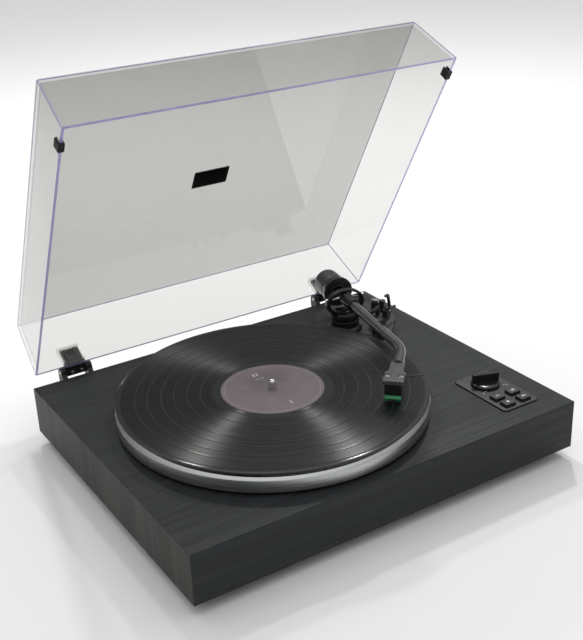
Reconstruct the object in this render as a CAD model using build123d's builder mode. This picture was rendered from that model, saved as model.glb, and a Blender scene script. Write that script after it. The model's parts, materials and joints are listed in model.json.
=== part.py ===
from build123d import *
import math
import os

# A belt-driven record player: a wooden plinth on four feet, a platter with a record on it, a bent tonearm with
# its counterweight, a small control panel and a hinged dust cover that stands open.
# Millimetres. +X runs along the front, +Y towards the hinges, +Z up. Z = 0 is the surface that it stands on.
# Plan places are measured from the plinth's centre and heights from the plinth's top face, the deck.

os.makedirs("parts", exist_ok=True)

# ---- driving dimensions -------------------------------------------------------------------------------------
# plinth
PLINTH_W, PLINTH_D, PLINTH_H = 418.0, 342.0, 50.0
PANEL_T = 15.0  # thickness of the plinth's top board
WALL_T = 14.0  # thickness of its four side boards
LEDGE_W = 6.0  # ledge that the bottom cover is screwed to
COVER_T = 3.0
FOOT_R, FOOT_H, FOOT_INSET = 17.0, 12.0, 46.0
EDGE_R = 0.6  # eased outer edges

# clearances
RUN_GAP = 0.05  # radial clearance of a shaft turning in its bore
SEAT_GAP = 0.02  # radial clearance of a shaft held in a bore
PART_GAP = 0.3  # between pieces that pass each other

# platter, mat, record and drive
PLATTER_X, PLATTER_Y = -32.0, -9.5
PLATTER_R, PLATTER_LIFT, PLATTER_WALL_TOP, PLATTER_TOP = 151.2, 2.4, 14.0, 17.7
PLATTER_CHAMFER, PLATTER_RIM_T, PLATTER_DISC_T = 4.0, 6.0, 3.0
MAT_R, MAT_T = 146.6, 2.2
RECORD_R, RECORD_T, RECORD_BEAD_W, GROOVE_DEPTH = 150.8, 1.9, 5.3, 0.2
LABEL_R, LABEL_T = 50.0, 0.1
SPINDLE_R, SPINDLE_TOP = 3.6, 31.3
SHAFT_R, SHAFT_BOTTOM = 4.0, -30.0
BOSS_R, BOSS_BOTTOM = 12.0, 6.5
DRIVE_RING_R, DRIVE_RING_T, DRIVE_RING_BOTTOM = 87.0, 3.0, 4.6
BELT_HOLE_R, BELT_HOLE_PLACE = 12.0, 112.0
PULLEY_R, PULLEY_DX, PULLEY_DY = 5.5, -70.0, -92.0
PULLEY_BOTTOM, PULLEY_TOP, PULLEY_FLANGE = 2.6, 11.4, 1.2
BELT_W, BELT_T, BELT_GAP = 4.0, 0.7, 0.12
MOTOR_R, MOTOR_H, MOTOR_SHAFT_R = 17.5, 19.0, 1.0
BEARING_R, BEARING_FLANGE_R, BEARING_FLANGE_T, BALL_R = 9.0, 22.0, 3.0, 2.0

# control panel
PANEL_X, PANEL_Y, PANEL_W, PANEL_D, PANEL_RAISE, PANEL_CORNER = 162.6, -110.8, 44.0, 75.6, 1.6, 5.0
KNOB_X, KNOB_Y, KNOB_R, KNOB_BASE_TOP, KNOB_TOP = 162.0, -96.5, 14.5, 5.6, 14.0
KNOB_TURN, KNOB_FIN_L, KNOB_FIN_T, KNOB_SHAFT_R = -21.0, 28.0, 4.0, 3.0
BUTTON_W, BUTTON_D, BUTTON_TOP, BUTTON_TRAVEL = 12.4, 10.4, 4.6, 1.0
BUTTON_X, BUTTON_Y, BUTTON_PITCH_X, BUTTON_PITCH_Y = 162.1, -131.9, 19.6, 14.7
BOARD_T, CONTROL_BOARD_TOP = 1.6, -7.4

# tonearm
ARM_X, ARM_Y, ARM_H = 125.7, 93.3, 40.0
ARM_TURN = 258.5  # heading of the straight tube, counter-clockwise from +X
TUBE_R, TUBE_WALL, TUBE_START, TUBE_STRAIGHT = 5.0, 0.8, 12.0, 127.0
BEND_R, BEND_ANGLE, TUBE_END = 50.0, 33.0, 14.4
RING_W, RING_R, RING_BORE = 7.0, 22.5, 18.0  # the oval ring's length, and its half widths outside and inside
RING_HALF_H, RING_DROP, BORE_HALF_H, BORE_DROP = 15.25, 5.25, 12.25, 4.25
BARREL_R, BARREL_BACK, BARREL_FRONT = 7.0, 10.0, 25.0
TOWER_R, TOWER_TOP, TOWER_FOOT_R, TOWER_FOOT_H = 16.0, 15.4, 19.0, 5.0
BASE_X, BASE_Y, BASE_R, BASE_T = 149.0, 107.0, 45.0, 3.5
STUB_R, STUB_END = 4.0, 42.2
WEIGHT_R, WEIGHT_FRONT, WEIGHT_L, WEIGHT_BACK_R = 15.0, 25.5, 29.0, 11.0
DIAL_R, DIAL_FRONT = 16.5, 17.0
CARRIAGE_R, CARRIAGE_L = 6.5, 20.0
SHELL_TOP, SHELL_T = 4.0, 4.0  # headshell plate, from the arm's axis up
NECK_W, NECK_L, SHELL_W, SHELL_L, COLLAR_L = 14.0, 17.5, 20.0, 20.0, 10.2
SCREW_PITCH, SCREW_BACK = 12.7, 11.8
CARTRIDGE_W, CARTRIDGE_L, CARTRIDGE_H = 16.4, 16.0, 11.6
STYLUS_H, STYLUS_LIFT = 5.4, 0.35
LIFT_RADIUS, LIFT_BAR_W, LIFT_GAP = 38.0, 3.0, 0.4
LIFT_FROM, LIFT_TO = 226.0, 305.0
LIFTER_R, LIFTER_X, LIFTER_Y = 6.0, 147.6, 62.2
SKATE_X, SKATE_Y, SKATE_TOP, SKATE_R, SKATE_POST_R = 160.5, 84.5, 32.0, 6.3, 4.6
LEVER_H, LEVER_TURN, LEVER_ROD_L, LEVER_GRIP_L = 18.0, 26.0, 22.0, 16.0
PARK_TURN = 16.0  # how far outwards the arm rest stands from the arm's place over the record
REST_REACH = 60.0

# dust cover and hinges
HINGE_X, HINGE_BACK, HINGE_H = 158.5, 10.5, 3.0
OPEN_ANGLE = 60.2
COVER_W, COVER_D, COVER_H, COVER_WALL = 408.0, 336.5, 65.5, 2.6
COVER_GAP = 1.2  # between the closed cover's rim and the deck
COVER_DRAFT_SIDE, COVER_DRAFT_FRONT, COVER_DRAFT_BACK = 5.3, 5.6, 1.4
HINGE_W, EAR_T, EAR_R, PIN_R = 34.0, 5.5, 5.0, 1.6
TONGUE_W, TONGUE_T, TONGUE_TOP = 20.0, 3.0, 22.5
POCKET_BOTTOM, POCKET_TOP, POCKET_WALL = 6.5, 25.0, 1.8
BUMPER_PLACE, BUMPER_W = 22.0, 10.0
BADGE_W, BADGE_D, BADGE_T = 40.0, 22.0, 0.8

# rear connectors
REAR_X, REAR_W, REAR_H, REAR_T = 84.0, 112.0, 30.0, 2.0
JACK_R, JACK_L, JACK_PITCH, JACK_X = 4.15, 9.0, 16.0, 66.0
JACK_ROOT_R, JACK_ROOT_L = 3.8, 0.5  # a thinner root that goes through the panel
GROUND_X, POWER_X, SELECT_X = 98.0, 118.0, 43.0
POWER_BORE_R, POWER_DEPTH = 3.2, 9.0

# ---- places worked out from them ----------------------------------------------------------------------------
OPEN = math.radians(OPEN_ANGLE)
DECK_Z = FOOT_H + PLINTH_H
HINGE_Y = PLINTH_D / 2 + HINGE_BACK
RIM_Z = COVER_GAP - HINGE_H  # closed rim, from the hinge pins
RIM_BACK = -HINGE_BACK  # its back edge, flush with the plinth's back
RIM_FRONT = RIM_BACK - COVER_D
COVER_TOP = RIM_Z + COVER_H
reach = HINGE_Y + (RIM_BACK - COVER_DRAFT_BACK) * math.cos(OPEN) + COVER_TOP * math.sin(OPEN)
PLINTH_Y = (PLINTH_D / 2 - reach) / 2  # puts the origin under the middle of the whole outline


def deck(height=0.0, x=0.0, y=0.0):
    """Level plane at a height above the deck, centred on a plan place."""
    return Plane(origin=(x, PLINTH_Y + y, DECK_Z + height))


def profile(x, y):
    """Upright plane through a plan place, for profiles of (radius, height above the deck)."""
    return Plane(origin=(x, PLINTH_Y + y, DECK_Z), x_dir=(1, 0, 0), z_dir=(0, -1, 0))


def upright(x, y):
    """Vertical axis through a plan place."""
    return Axis((x, PLINTH_Y + y, 0), (0, 0, 1))


def write(piece, label):
    """Names a finished piece and writes its file."""
    piece.part.label = label
    export_step(piece.part, f"parts/{label}.step")


def turned(x, y, points):
    """A round piece about a vertical axis, from its (radius, height) outline."""
    with BuildPart() as piece:
        with BuildSketch(profile(x, y)):
            with BuildLine():
                Polyline(*points, close=True)
            make_face()
        revolve(axis=upright(x, y))
    return piece


# ---- plinth, feet and bottom cover --------------------------------------------------------------------------
CAVITY_W, CAVITY_D = PLINTH_W - 2 * WALL_T, PLINTH_D - 2 * WALL_T
UNDER = deck(-PLINTH_H)
PULLEY_X, PULLEY_Y = PLATTER_X + PULLEY_DX, PLATTER_Y + PULLEY_DY
WINDOW_W, WINDOW_D = PANEL_W - 4.0, PANEL_D - 4.0
ARM_HOLE_R = 9.0
REAR_WINDOW_W, REAR_WINDOW_H = REAR_W - 12.0, REAR_H - 10.0
REAR_Z = -PLINTH_H / 2


def back(depth=0.0, x=0.0, z=0.0):
    """Upright plane parallel to the plinth's back, at a depth outside it, facing backwards."""
    return Plane(origin=(x, PLINTH_Y + PLINTH_D / 2 + depth, DECK_Z + z), x_dir=(-1, 0, 0), z_dir=(0, 1, 0))


with BuildPart() as plinth_body:
    with BuildSketch(UNDER):
        Rectangle(PLINTH_W, PLINTH_D)
    extrude(amount=PLINTH_H)
    fillet(plinth_body.edges(), EDGE_R)
    with BuildSketch(UNDER):
        Rectangle(CAVITY_W, CAVITY_D)
    extrude(amount=PLINTH_H - PANEL_T, mode=Mode.SUBTRACT)
    with BuildSketch(UNDER):
        Rectangle(CAVITY_W + 2 * LEDGE_W, CAVITY_D + 2 * LEDGE_W)
    extrude(amount=COVER_T, mode=Mode.SUBTRACT)
    with BuildSketch(deck()):
        with Locations((PLATTER_X, PLATTER_Y)):
            Circle(BEARING_R + PART_GAP)
        with Locations((PULLEY_X, PULLEY_Y)):
            Circle(PULLEY_R + 4.0)
        with Locations((ARM_X, ARM_Y)):
            Circle(ARM_HOLE_R)
        with Locations((PANEL_X, PANEL_Y)):
            Rectangle(WINDOW_W, WINDOW_D)
    extrude(amount=-PANEL_T, mode=Mode.SUBTRACT)
    with BuildSketch(back(0, REAR_X, REAR_Z)):
        Rectangle(REAR_WINDOW_W, REAR_WINDOW_H)
    extrude(amount=-WALL_T, mode=Mode.SUBTRACT)
write(plinth_body, "plinth_body")

FOOT_SPAN_X, FOOT_SPAN_Y = PLINTH_W - 2 * FOOT_INSET, PLINTH_D - 2 * FOOT_INSET
COVER_SCREW_R, FOOT_SCREW_R, FOOT_SCREW_HEAD_R, FOOT_BOSS_R, FOOT_BOSS_H = 1.5, 2.0, 4.0, 7.0, 8.0
COVER_SCREW_SPAN_X, COVER_SCREW_SPAN_Y = CAVITY_W + LEDGE_W, CAVITY_D + LEDGE_W
COVER_SCREW_PLACES = [
    (x * COVER_SCREW_SPAN_X / 2, y * COVER_SCREW_SPAN_Y / 2) for x in (-1, 0, 1) for y in (-1, 0, 1) if x or y
]
BOARD_X, BOARD_Y, BOARD_W, BOARD_D, BOARD_LIFT = 92.0, 60.0, 110.0, 70.0, 6.0
BOARD_POST_R, BOARD_SCREW_R = 3.0, 1.2

with BuildPart() as bottom_cover:
    with BuildSketch(UNDER):
        Rectangle(CAVITY_W + 2 * LEDGE_W - 2 * PART_GAP, CAVITY_D + 2 * LEDGE_W - 2 * PART_GAP)
    extrude(amount=COVER_T)
    with BuildSketch(deck(-PLINTH_H + COVER_T)):
        with GridLocations(FOOT_SPAN_X, FOOT_SPAN_Y, 2, 2):
            Circle(FOOT_BOSS_R)
    extrude(amount=FOOT_BOSS_H)
    with BuildSketch(deck(-PLINTH_H + COVER_T)):
        with Locations((BOARD_X, BOARD_Y)):
            with GridLocations(BOARD_W - 10.0, BOARD_D - 10.0, 2, 2):
                Circle(BOARD_POST_R)
    extrude(amount=BOARD_LIFT)
    with BuildSketch(UNDER):
        with GridLocations(FOOT_SPAN_X, FOOT_SPAN_Y, 2, 2):
            Circle(FOOT_SCREW_R)
        with Locations(*COVER_SCREW_PLACES):
            Circle(COVER_SCREW_R)
    extrude(amount=COVER_T + FOOT_BOSS_H, mode=Mode.SUBTRACT)
write(bottom_cover, "bottom_cover")

FOOT_RECESS_R, FOOT_RECESS_H = 7.0, 6.0
with BuildPart() as feet:
    with BuildSketch(Plane(origin=(0, PLINTH_Y, 0))):
        with GridLocations(FOOT_SPAN_X, FOOT_SPAN_Y, 2, 2):
            Circle(FOOT_R)
    extrude(amount=FOOT_H)
    fillet(feet.edges().group_by(Axis.Z)[0], 2.0)
    with BuildSketch(Plane(origin=(0, PLINTH_Y, 0))):
        with GridLocations(FOOT_SPAN_X, FOOT_SPAN_Y, 2, 2):
            Circle(FOOT_RECESS_R)
    extrude(amount=FOOT_RECESS_H, mode=Mode.SUBTRACT)
    with BuildSketch(Plane(origin=(0, PLINTH_Y, 0))):
        with GridLocations(FOOT_SPAN_X, FOOT_SPAN_Y, 2, 2):
            Circle(FOOT_SCREW_R)
    extrude(amount=FOOT_H, mode=Mode.SUBTRACT)
write(feet, "feet")

with BuildPart() as underside_screws:
    with BuildSketch(deck(-PLINTH_H)):
        with Locations(*COVER_SCREW_PLACES):
            Circle(COVER_SCREW_R - SEAT_GAP)
    extrude(amount=COVER_T)
    with BuildSketch(deck(-PLINTH_H)):
        with Locations(*COVER_SCREW_PLACES):
            Circle(2 * COVER_SCREW_R)
    extrude(amount=-1.2)
    with BuildSketch(Plane(origin=(0, PLINTH_Y, FOOT_RECESS_H))):
        with GridLocations(FOOT_SPAN_X, FOOT_SPAN_Y, 2, 2):
            Circle(FOOT_SCREW_R - SEAT_GAP)
    extrude(amount=FOOT_H - FOOT_RECESS_H + COVER_T + FOOT_BOSS_H)
    with BuildSketch(Plane(origin=(0, PLINTH_Y, FOOT_RECESS_H))):
        with GridLocations(FOOT_SPAN_X, FOOT_SPAN_Y, 2, 2):
            Circle(FOOT_SCREW_HEAD_R)
    extrude(amount=-2.4)
write(underside_screws, "underside_screws")

# ---- main board ---------------------------------------------------------------------------------------------
BOARD_BOTTOM = -PLINTH_H + COVER_T + BOARD_LIFT
with BuildPart() as main_board:
    with BuildSketch(deck(BOARD_BOTTOM)):
        with Locations((BOARD_X, BOARD_Y)):
            Rectangle(BOARD_W, BOARD_D)
    extrude(amount=BOARD_T)
    with BuildSketch(deck(BOARD_BOTTOM + BOARD_T)):
        with Locations((BOARD_X - 20, BOARD_Y)):
            Rectangle(14, 14)
        with Locations((BOARD_X + 10, BOARD_Y + 8)):
            Rectangle(9, 6)
    extrude(amount=1.6)
    with BuildSketch(deck(BOARD_BOTTOM + BOARD_T)):
        with Locations((BOARD_X + 30, BOARD_Y - 12)):
            with GridLocations(12, 12, 2, 2):
                Circle(4)
    extrude(amount=10)
    with BuildSketch(deck(BOARD_BOTTOM)):
        with Locations((BOARD_X, BOARD_Y)):
            with GridLocations(BOARD_W - 10.0, BOARD_D - 10.0, 2, 2):
                Circle(BOARD_SCREW_R)
    extrude(amount=BOARD_T, mode=Mode.SUBTRACT)
write(main_board, "main_board")

# ---- main bearing, motor and drive --------------------------------------------------------------------------
BALL_H = SHAFT_BOTTOM - BALL_R
BORE_BOTTOM = SHAFT_BOTTOM - 2 * BALL_R
bearing_housing = turned(
    PLATTER_X,
    PLATTER_Y,
    [
        (0, BORE_BOTTOM - 4),
        (BEARING_R, BORE_BOTTOM - 4),
        (BEARING_R, 0),
        (BEARING_FLANGE_R, 0),
        (BEARING_FLANGE_R, BEARING_FLANGE_T),
        (BEARING_R, BEARING_FLANGE_T),
        (BEARING_R, BOSS_BOTTOM - PART_GAP),
        (SHAFT_R + RUN_GAP, BOSS_BOTTOM - PART_GAP),
        (SHAFT_R + RUN_GAP, BORE_BOTTOM),
        (0, BORE_BOTTOM),
    ],
)
write(bearing_housing, "bearing_housing")

with BuildPart() as thrust_ball:
    with Locations((PLATTER_X, PLINTH_Y + PLATTER_Y, DECK_Z + BALL_H)):
        Sphere(BALL_R)
write(thrust_ball, "thrust_ball")

spindle_shaft = turned(
    PLATTER_X,
    PLATTER_Y,
    [
        (0, SHAFT_BOTTOM),
        (SHAFT_R, SHAFT_BOTTOM),
        (SHAFT_R, PLATTER_TOP),
        (SPINDLE_R, PLATTER_TOP),
        (SPINDLE_R, SPINDLE_TOP - 2.6),
        (SPINDLE_R - 0.7, SPINDLE_TOP - 1.1),
        (SPINDLE_R - 1.9, SPINDLE_TOP - 0.25),
        (0, SPINDLE_TOP),
    ],
)
write(spindle_shaft, "spindle_shaft")

DISC_BOTTOM = PLATTER_TOP - PLATTER_DISC_T
with BuildPart() as platter:
    with BuildSketch(profile(PLATTER_X, PLATTER_Y)):
        with BuildLine():
            Polyline(
                (SHAFT_R + SEAT_GAP, BOSS_BOTTOM),
                (BOSS_R, BOSS_BOTTOM),
                (BOSS_R, DISC_BOTTOM),
                (DRIVE_RING_R - DRIVE_RING_T, DISC_BOTTOM),
                (DRIVE_RING_R - DRIVE_RING_T, DRIVE_RING_BOTTOM),
                (DRIVE_RING_R, DRIVE_RING_BOTTOM),
                (DRIVE_RING_R, DISC_BOTTOM),
                (PLATTER_R - PLATTER_RIM_T, DISC_BOTTOM),
                (PLATTER_R - PLATTER_RIM_T, PLATTER_LIFT),
                (PLATTER_R, PLATTER_LIFT),
                (PLATTER_R, PLATTER_WALL_TOP),
                (PLATTER_R - PLATTER_CHAMFER, PLATTER_TOP),
                (SHAFT_R + SEAT_GAP, PLATTER_TOP),
                close=True,
            )
        make_face()
    revolve(axis=upright(PLATTER_X, PLATTER_Y))
    with BuildSketch(deck(DISC_BOTTOM)):
        with Locations((PLATTER_X, PLATTER_Y)):
            with PolarLocations(BELT_HOLE_PLACE, 2, start_angle=40):
                Circle(BELT_HOLE_R)
    extrude(amount=PLATTER_DISC_T, mode=Mode.SUBTRACT)
write(platter, "platter")

MAT_TOP = PLATTER_TOP + MAT_T
with BuildPart() as platter_mat:
    with BuildSketch(deck(PLATTER_TOP)):
        with Locations((PLATTER_X, PLATTER_Y)):
            Circle(MAT_R)
            Circle(SHAFT_R + PART_GAP, mode=Mode.SUBTRACT)
    extrude(amount=MAT_T)
write(platter_mat, "platter_mat")

RECORD_TOP = MAT_TOP + RECORD_T
GROOVE_TOP = RECORD_TOP - GROOVE_DEPTH
LABEL_SEAT = RECORD_TOP - LABEL_T
record = turned(
    PLATTER_X,
    PLATTER_Y,
    [
        (SPINDLE_R + PART_GAP / 2, MAT_TOP),
        (RECORD_R - 0.6, MAT_TOP),
        (RECORD_R, MAT_TOP + 0.6),
        (RECORD_R, RECORD_TOP - 0.7),
        (RECORD_R - 0.7, RECORD_TOP),
        (RECORD_R - RECORD_BEAD_W + 1.0, RECORD_TOP),
        (RECORD_R - RECORD_BEAD_W, GROOVE_TOP),
        (LABEL_R + 3.0, GROOVE_TOP),
        (LABEL_R + 2.4, LABEL_SEAT),
        (SPINDLE_R + PART_GAP / 2, LABEL_SEAT),
    ],
)
write(record, "record")

with BuildPart() as record_label:
    with BuildSketch(deck(LABEL_SEAT)):
        with Locations((PLATTER_X, PLATTER_Y)):
            Circle(LABEL_R)
            Circle(SPINDLE_R + PART_GAP / 2, mode=Mode.SUBTRACT)
    extrude(amount=LABEL_T)
write(record_label, "record_label")

MOTOR_TOP, MOTOR_FLANGE_T, MOTOR_FLANGE_W = -PANEL_T, 1.6, 6.0
motor_body = turned(
    PULLEY_X,
    PULLEY_Y,
    [
        (MOTOR_SHAFT_R + RUN_GAP, MOTOR_TOP - MOTOR_H),
        (MOTOR_R, MOTOR_TOP - MOTOR_H),
        (MOTOR_R, MOTOR_TOP - MOTOR_FLANGE_T),
        (MOTOR_R + MOTOR_FLANGE_W, MOTOR_TOP - MOTOR_FLANGE_T),
        (MOTOR_R + MOTOR_FLANGE_W, MOTOR_TOP),
        (MOTOR_SHAFT_R + RUN_GAP, MOTOR_TOP),
    ],
)
write(motor_body, "motor_body")

with BuildPart() as motor_shaft:
    with BuildSketch(deck(MOTOR_TOP - MOTOR_H)):
        with Locations((PULLEY_X, PULLEY_Y)):
            Circle(MOTOR_SHAFT_R)
    extrude(amount=MOTOR_H - MOTOR_TOP + PULLEY_TOP)
write(motor_shaft, "motor_shaft")

motor_pulley = turned(
    PULLEY_X,
    PULLEY_Y,
    [
        (MOTOR_SHAFT_R + SEAT_GAP, PULLEY_BOTTOM),
        (PULLEY_R + PULLEY_FLANGE, PULLEY_BOTTOM),
        (PULLEY_R + PULLEY_FLANGE, PULLEY_BOTTOM + 0.9),
        (PULLEY_R, PULLEY_BOTTOM + 1.5),
        (PULLEY_R, PULLEY_TOP - 1.5),
        (PULLEY_R + PULLEY_FLANGE, PULLEY_TOP - 0.9),
        (PULLEY_R + PULLEY_FLANGE, PULLEY_TOP),
        (MOTOR_SHAFT_R + SEAT_GAP, PULLEY_TOP),
    ],
)
write(motor_pulley, "motor_pulley")

BELT_BOTTOM = (PULLEY_BOTTOM + PULLEY_TOP - BELT_W) / 2
with BuildPart() as drive_belt:
    with BuildSketch(deck(BELT_BOTTOM)):
        with Locations((PLATTER_X, PLATTER_Y)):
            Circle(DRIVE_RING_R + BELT_GAP + BELT_T)
        with Locations((PULLEY_X, PULLEY_Y)):
            Circle(PULLEY_R + BELT_GAP + BELT_T)
        make_hull()
    extrude(amount=BELT_W)
    with BuildSketch(deck(BELT_BOTTOM)):
        with Locations((PLATTER_X, PLATTER_Y)):
            Circle(DRIVE_RING_R + BELT_GAP)
        with Locations((PULLEY_X, PULLEY_Y)):
            Circle(PULLEY_R + BELT_GAP)
        make_hull()
    extrude(amount=BELT_W, mode=Mode.SUBTRACT)
write(drive_belt, "drive_belt")

# ---- control panel ------------------------------------------------------------------------------------------
SKIRT_T, SKIRT_H = 1.0, 5.0
BOARD_POSTS = [(PANEL_X - 15.0, PANEL_Y + 30.0), (PANEL_X + 15.0, PANEL_Y + 30.0), (BUTTON_X, BUTTON_Y)]
BUTTON_PLACES = [
    (BUTTON_X + sx * BUTTON_PITCH_X / 2, BUTTON_Y + sy * BUTTON_PITCH_Y / 2) for sy in (1, -1) for sx in (-1, 1)
]
STEM_R, STEM_BOTTOM, FLANGE_T, FLANGE_W = 1.6, -2.9, 1.5, 0.9

with BuildPart() as control_panel:
    with BuildSketch(deck(0, PANEL_X, PANEL_Y)):
        RectangleRounded(PANEL_W, PANEL_D, PANEL_CORNER)
    extrude(amount=PANEL_RAISE)
    fillet(control_panel.faces().sort_by(Axis.Z)[-1].edges(), 0.6)
    with BuildSketch(deck(0, PANEL_X, PANEL_Y)):
        Rectangle(WINDOW_W - 2 * PART_GAP, WINDOW_D - 2 * PART_GAP)
        Rectangle(WINDOW_W - 2 * PART_GAP - 2 * SKIRT_T, WINDOW_D - 2 * PART_GAP - 2 * SKIRT_T, mode=Mode.SUBTRACT)
    extrude(amount=-SKIRT_H)
    with BuildSketch(deck()):
        with Locations(*BOARD_POSTS):
            Circle(1.6)
    extrude(amount=CONTROL_BOARD_TOP)
    with BuildSketch(deck()):
        with Locations((KNOB_X, KNOB_Y)):
            Circle(KNOB_SHAFT_R + PART_GAP)
        with Locations(*BUTTON_PLACES):
            RectangleRounded(BUTTON_W + 2 * PART_GAP, BUTTON_D + 2 * PART_GAP, 1.4)
    extrude(amount=PANEL_RAISE, mode=Mode.SUBTRACT)
write(control_panel, "control_panel")

SWITCH_TOP = STEM_BOTTOM - BUTTON_TRAVEL - PART_GAP
with BuildPart() as control_board:
    with BuildSketch(deck(CONTROL_BOARD_TOP, PANEL_X, PANEL_Y)):
        Rectangle(WINDOW_W - 6.0, WINDOW_D - 6.0)
    extrude(amount=-BOARD_T)
    with BuildSketch(deck(CONTROL_BOARD_TOP)):
        with Locations(*BUTTON_PLACES):
            Rectangle(6.0, 6.0)
    extrude(amount=SWITCH_TOP - CONTROL_BOARD_TOP)
    with BuildSketch(deck(CONTROL_BOARD_TOP, KNOB_X, KNOB_Y)):
        Rectangle(14.0, 14.0)
        Circle(KNOB_SHAFT_R + RUN_GAP, mode=Mode.SUBTRACT)
    extrude(amount=-CONTROL_BOARD_TOP - PART_GAP)
write(control_board, "control_board")

KNOB_BOTTOM = PANEL_RAISE + PART_GAP
knob_top = Plane(
    origin=(KNOB_X, PLINTH_Y + KNOB_Y, DECK_Z + KNOB_BASE_TOP),
    x_dir=(math.cos(math.radians(KNOB_TURN)), math.sin(math.radians(KNOB_TURN)), 0),
    z_dir=(0, 0, 1),
)
with BuildPart() as speed_knob:
    with BuildSketch(profile(KNOB_X, KNOB_Y)):
        with BuildLine():
            Line((0, KNOB_BOTTOM), (KNOB_R - 0.4, KNOB_BOTTOM))
            Line((KNOB_R - 0.4, KNOB_BOTTOM), (KNOB_R, KNOB_BOTTOM + 0.6))
            Line((KNOB_R, KNOB_BOTTOM + 0.6), (KNOB_R, KNOB_BASE_TOP - 1.8))
            ThreePointArc(
                (KNOB_R, KNOB_BASE_TOP - 1.8), (KNOB_R - 0.7, KNOB_BASE_TOP - 0.6), (KNOB_R - 2.4, KNOB_BASE_TOP)
            )
            Line((KNOB_R - 2.4, KNOB_BASE_TOP), (0, KNOB_BASE_TOP))
            Line((0, KNOB_BASE_TOP), (0, KNOB_BOTTOM))
        make_face()
    revolve(axis=upright(KNOB_X, KNOB_Y))
    with BuildSketch(knob_top):
        RectangleRounded(KNOB_FIN_L, KNOB_FIN_T, 1.2)
    extrude(amount=KNOB_TOP - KNOB_BASE_TOP)
    fillet(speed_knob.faces().sort_by(Axis.Z)[-1].edges(), 0.8)
    with BuildSketch(deck(KNOB_BOTTOM, KNOB_X, KNOB_Y)):
        Circle(KNOB_SHAFT_R)
    extrude(amount=CONTROL_BOARD_TOP + PART_GAP - KNOB_BOTTOM)
write(speed_knob, "speed_knob")

for number, (button_x, button_y) in enumerate(BUTTON_PLACES, start=1):
    with BuildPart() as button:
        with BuildSketch(deck(-PART_GAP, button_x, button_y)):
            RectangleRounded(BUTTON_W, BUTTON_D, 1.2)
        extrude(amount=BUTTON_TOP + PART_GAP)
        fillet(button.faces().sort_by(Axis.Z)[-1].edges(), 0.9)
        with BuildSketch(deck(-PART_GAP, button_x, button_y)):
            Rectangle(BUTTON_W + 2 * FLANGE_W, BUTTON_D)
        extrude(amount=-FLANGE_T)
        with BuildSketch(deck(-PART_GAP - FLANGE_T, button_x, button_y)):
            Circle(STEM_R)
        extrude(amount=STEM_BOTTOM + PART_GAP + FLANGE_T)
    write(button, f"button_{number}")

# ---- rear connectors ----------------------------------------------------------------------------------------
SLOT_L, SLOT_H, SLIDER_L, SELECT_TRAVEL, GUIDE_DEPTH = 9.0, 4.0, 4.0, 4.0, 3.0
JACKS = [(-JACK_X + JACK_PITCH / 2, 0), (-JACK_X - JACK_PITCH / 2, 0)]

with BuildPart() as rear_panel:
    with BuildSketch(back(0, REAR_X, REAR_Z)):
        RectangleRounded(REAR_W, REAR_H, 3.0)
    extrude(amount=REAR_T)
    fillet(rear_panel.faces().sort_by(Axis.Y)[-1].edges(), 0.5)
    with BuildSketch(back(0, 0, REAR_Z)):
        with Locations(*JACKS):
            Circle(JACK_ROOT_R + SEAT_GAP)
        with Locations((-GROUND_X, 0)):
            Circle(2.0 + SEAT_GAP)
        with Locations((-POWER_X, 0)):
            Circle(5.0 + SEAT_GAP)
        with Locations((-SELECT_X, 0)):
            Rectangle(SLOT_L, SLOT_H)
    extrude(amount=REAR_T, mode=Mode.SUBTRACT)
    with BuildSketch(back(0, 0, REAR_Z)):
        with Locations((-SELECT_X - SLOT_L / 2 - 1.5, 0), (-SELECT_X + SLOT_L / 2 + 1.5, 0)):
            Rectangle(3.0 - PART_GAP, SLOT_H)
    extrude(amount=-GUIDE_DEPTH)
    with BuildSketch(back(-GUIDE_DEPTH, 0, REAR_Z)):
        with Locations((-SELECT_X, 0)):
            Rectangle(SLOT_L + 6.0, SLOT_H)
    extrude(amount=-1.5)
write(rear_panel, "rear_panel")

INSERT_R, CONTACT_R, JACK_INSIDE = 3.3, 1.6, 10.0
with BuildPart() as jack_shells:
    with BuildSketch(back(-JACK_INSIDE, 0, REAR_Z)):
        with Locations(*JACKS):
            Circle(JACK_ROOT_R)
            Circle(INSERT_R + SEAT_GAP, mode=Mode.SUBTRACT)
    extrude(amount=JACK_INSIDE + REAR_T + JACK_ROOT_L)
    with BuildSketch(back(REAR_T + JACK_ROOT_L, 0, REAR_Z)):
        with Locations(*JACKS):
            Circle(JACK_R)
            Circle(INSERT_R + SEAT_GAP, mode=Mode.SUBTRACT)
    extrude(amount=JACK_L - JACK_ROOT_L)
    with BuildSketch(back(-PART_GAP, 0, REAR_Z)):
        with Locations(*JACKS):
            Circle(JACK_R + 1.6)
            Circle(INSERT_R + SEAT_GAP, mode=Mode.SUBTRACT)
    extrude(amount=-1.5)
write(jack_shells, "jack_shells")

with BuildPart() as jack_inserts:
    with BuildSketch(back(-JACK_INSIDE, 0, REAR_Z)):
        with Locations(*JACKS):
            Circle(INSERT_R)
    extrude(amount=JACK_INSIDE + REAR_T + JACK_L - 0.8)
    with BuildSketch(back(REAR_T, 0, REAR_Z)):
        with Locations(*JACKS):
            Circle(CONTACT_R)
    extrude(amount=JACK_L, mode=Mode.SUBTRACT)
write(jack_inserts, "jack_inserts")

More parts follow.
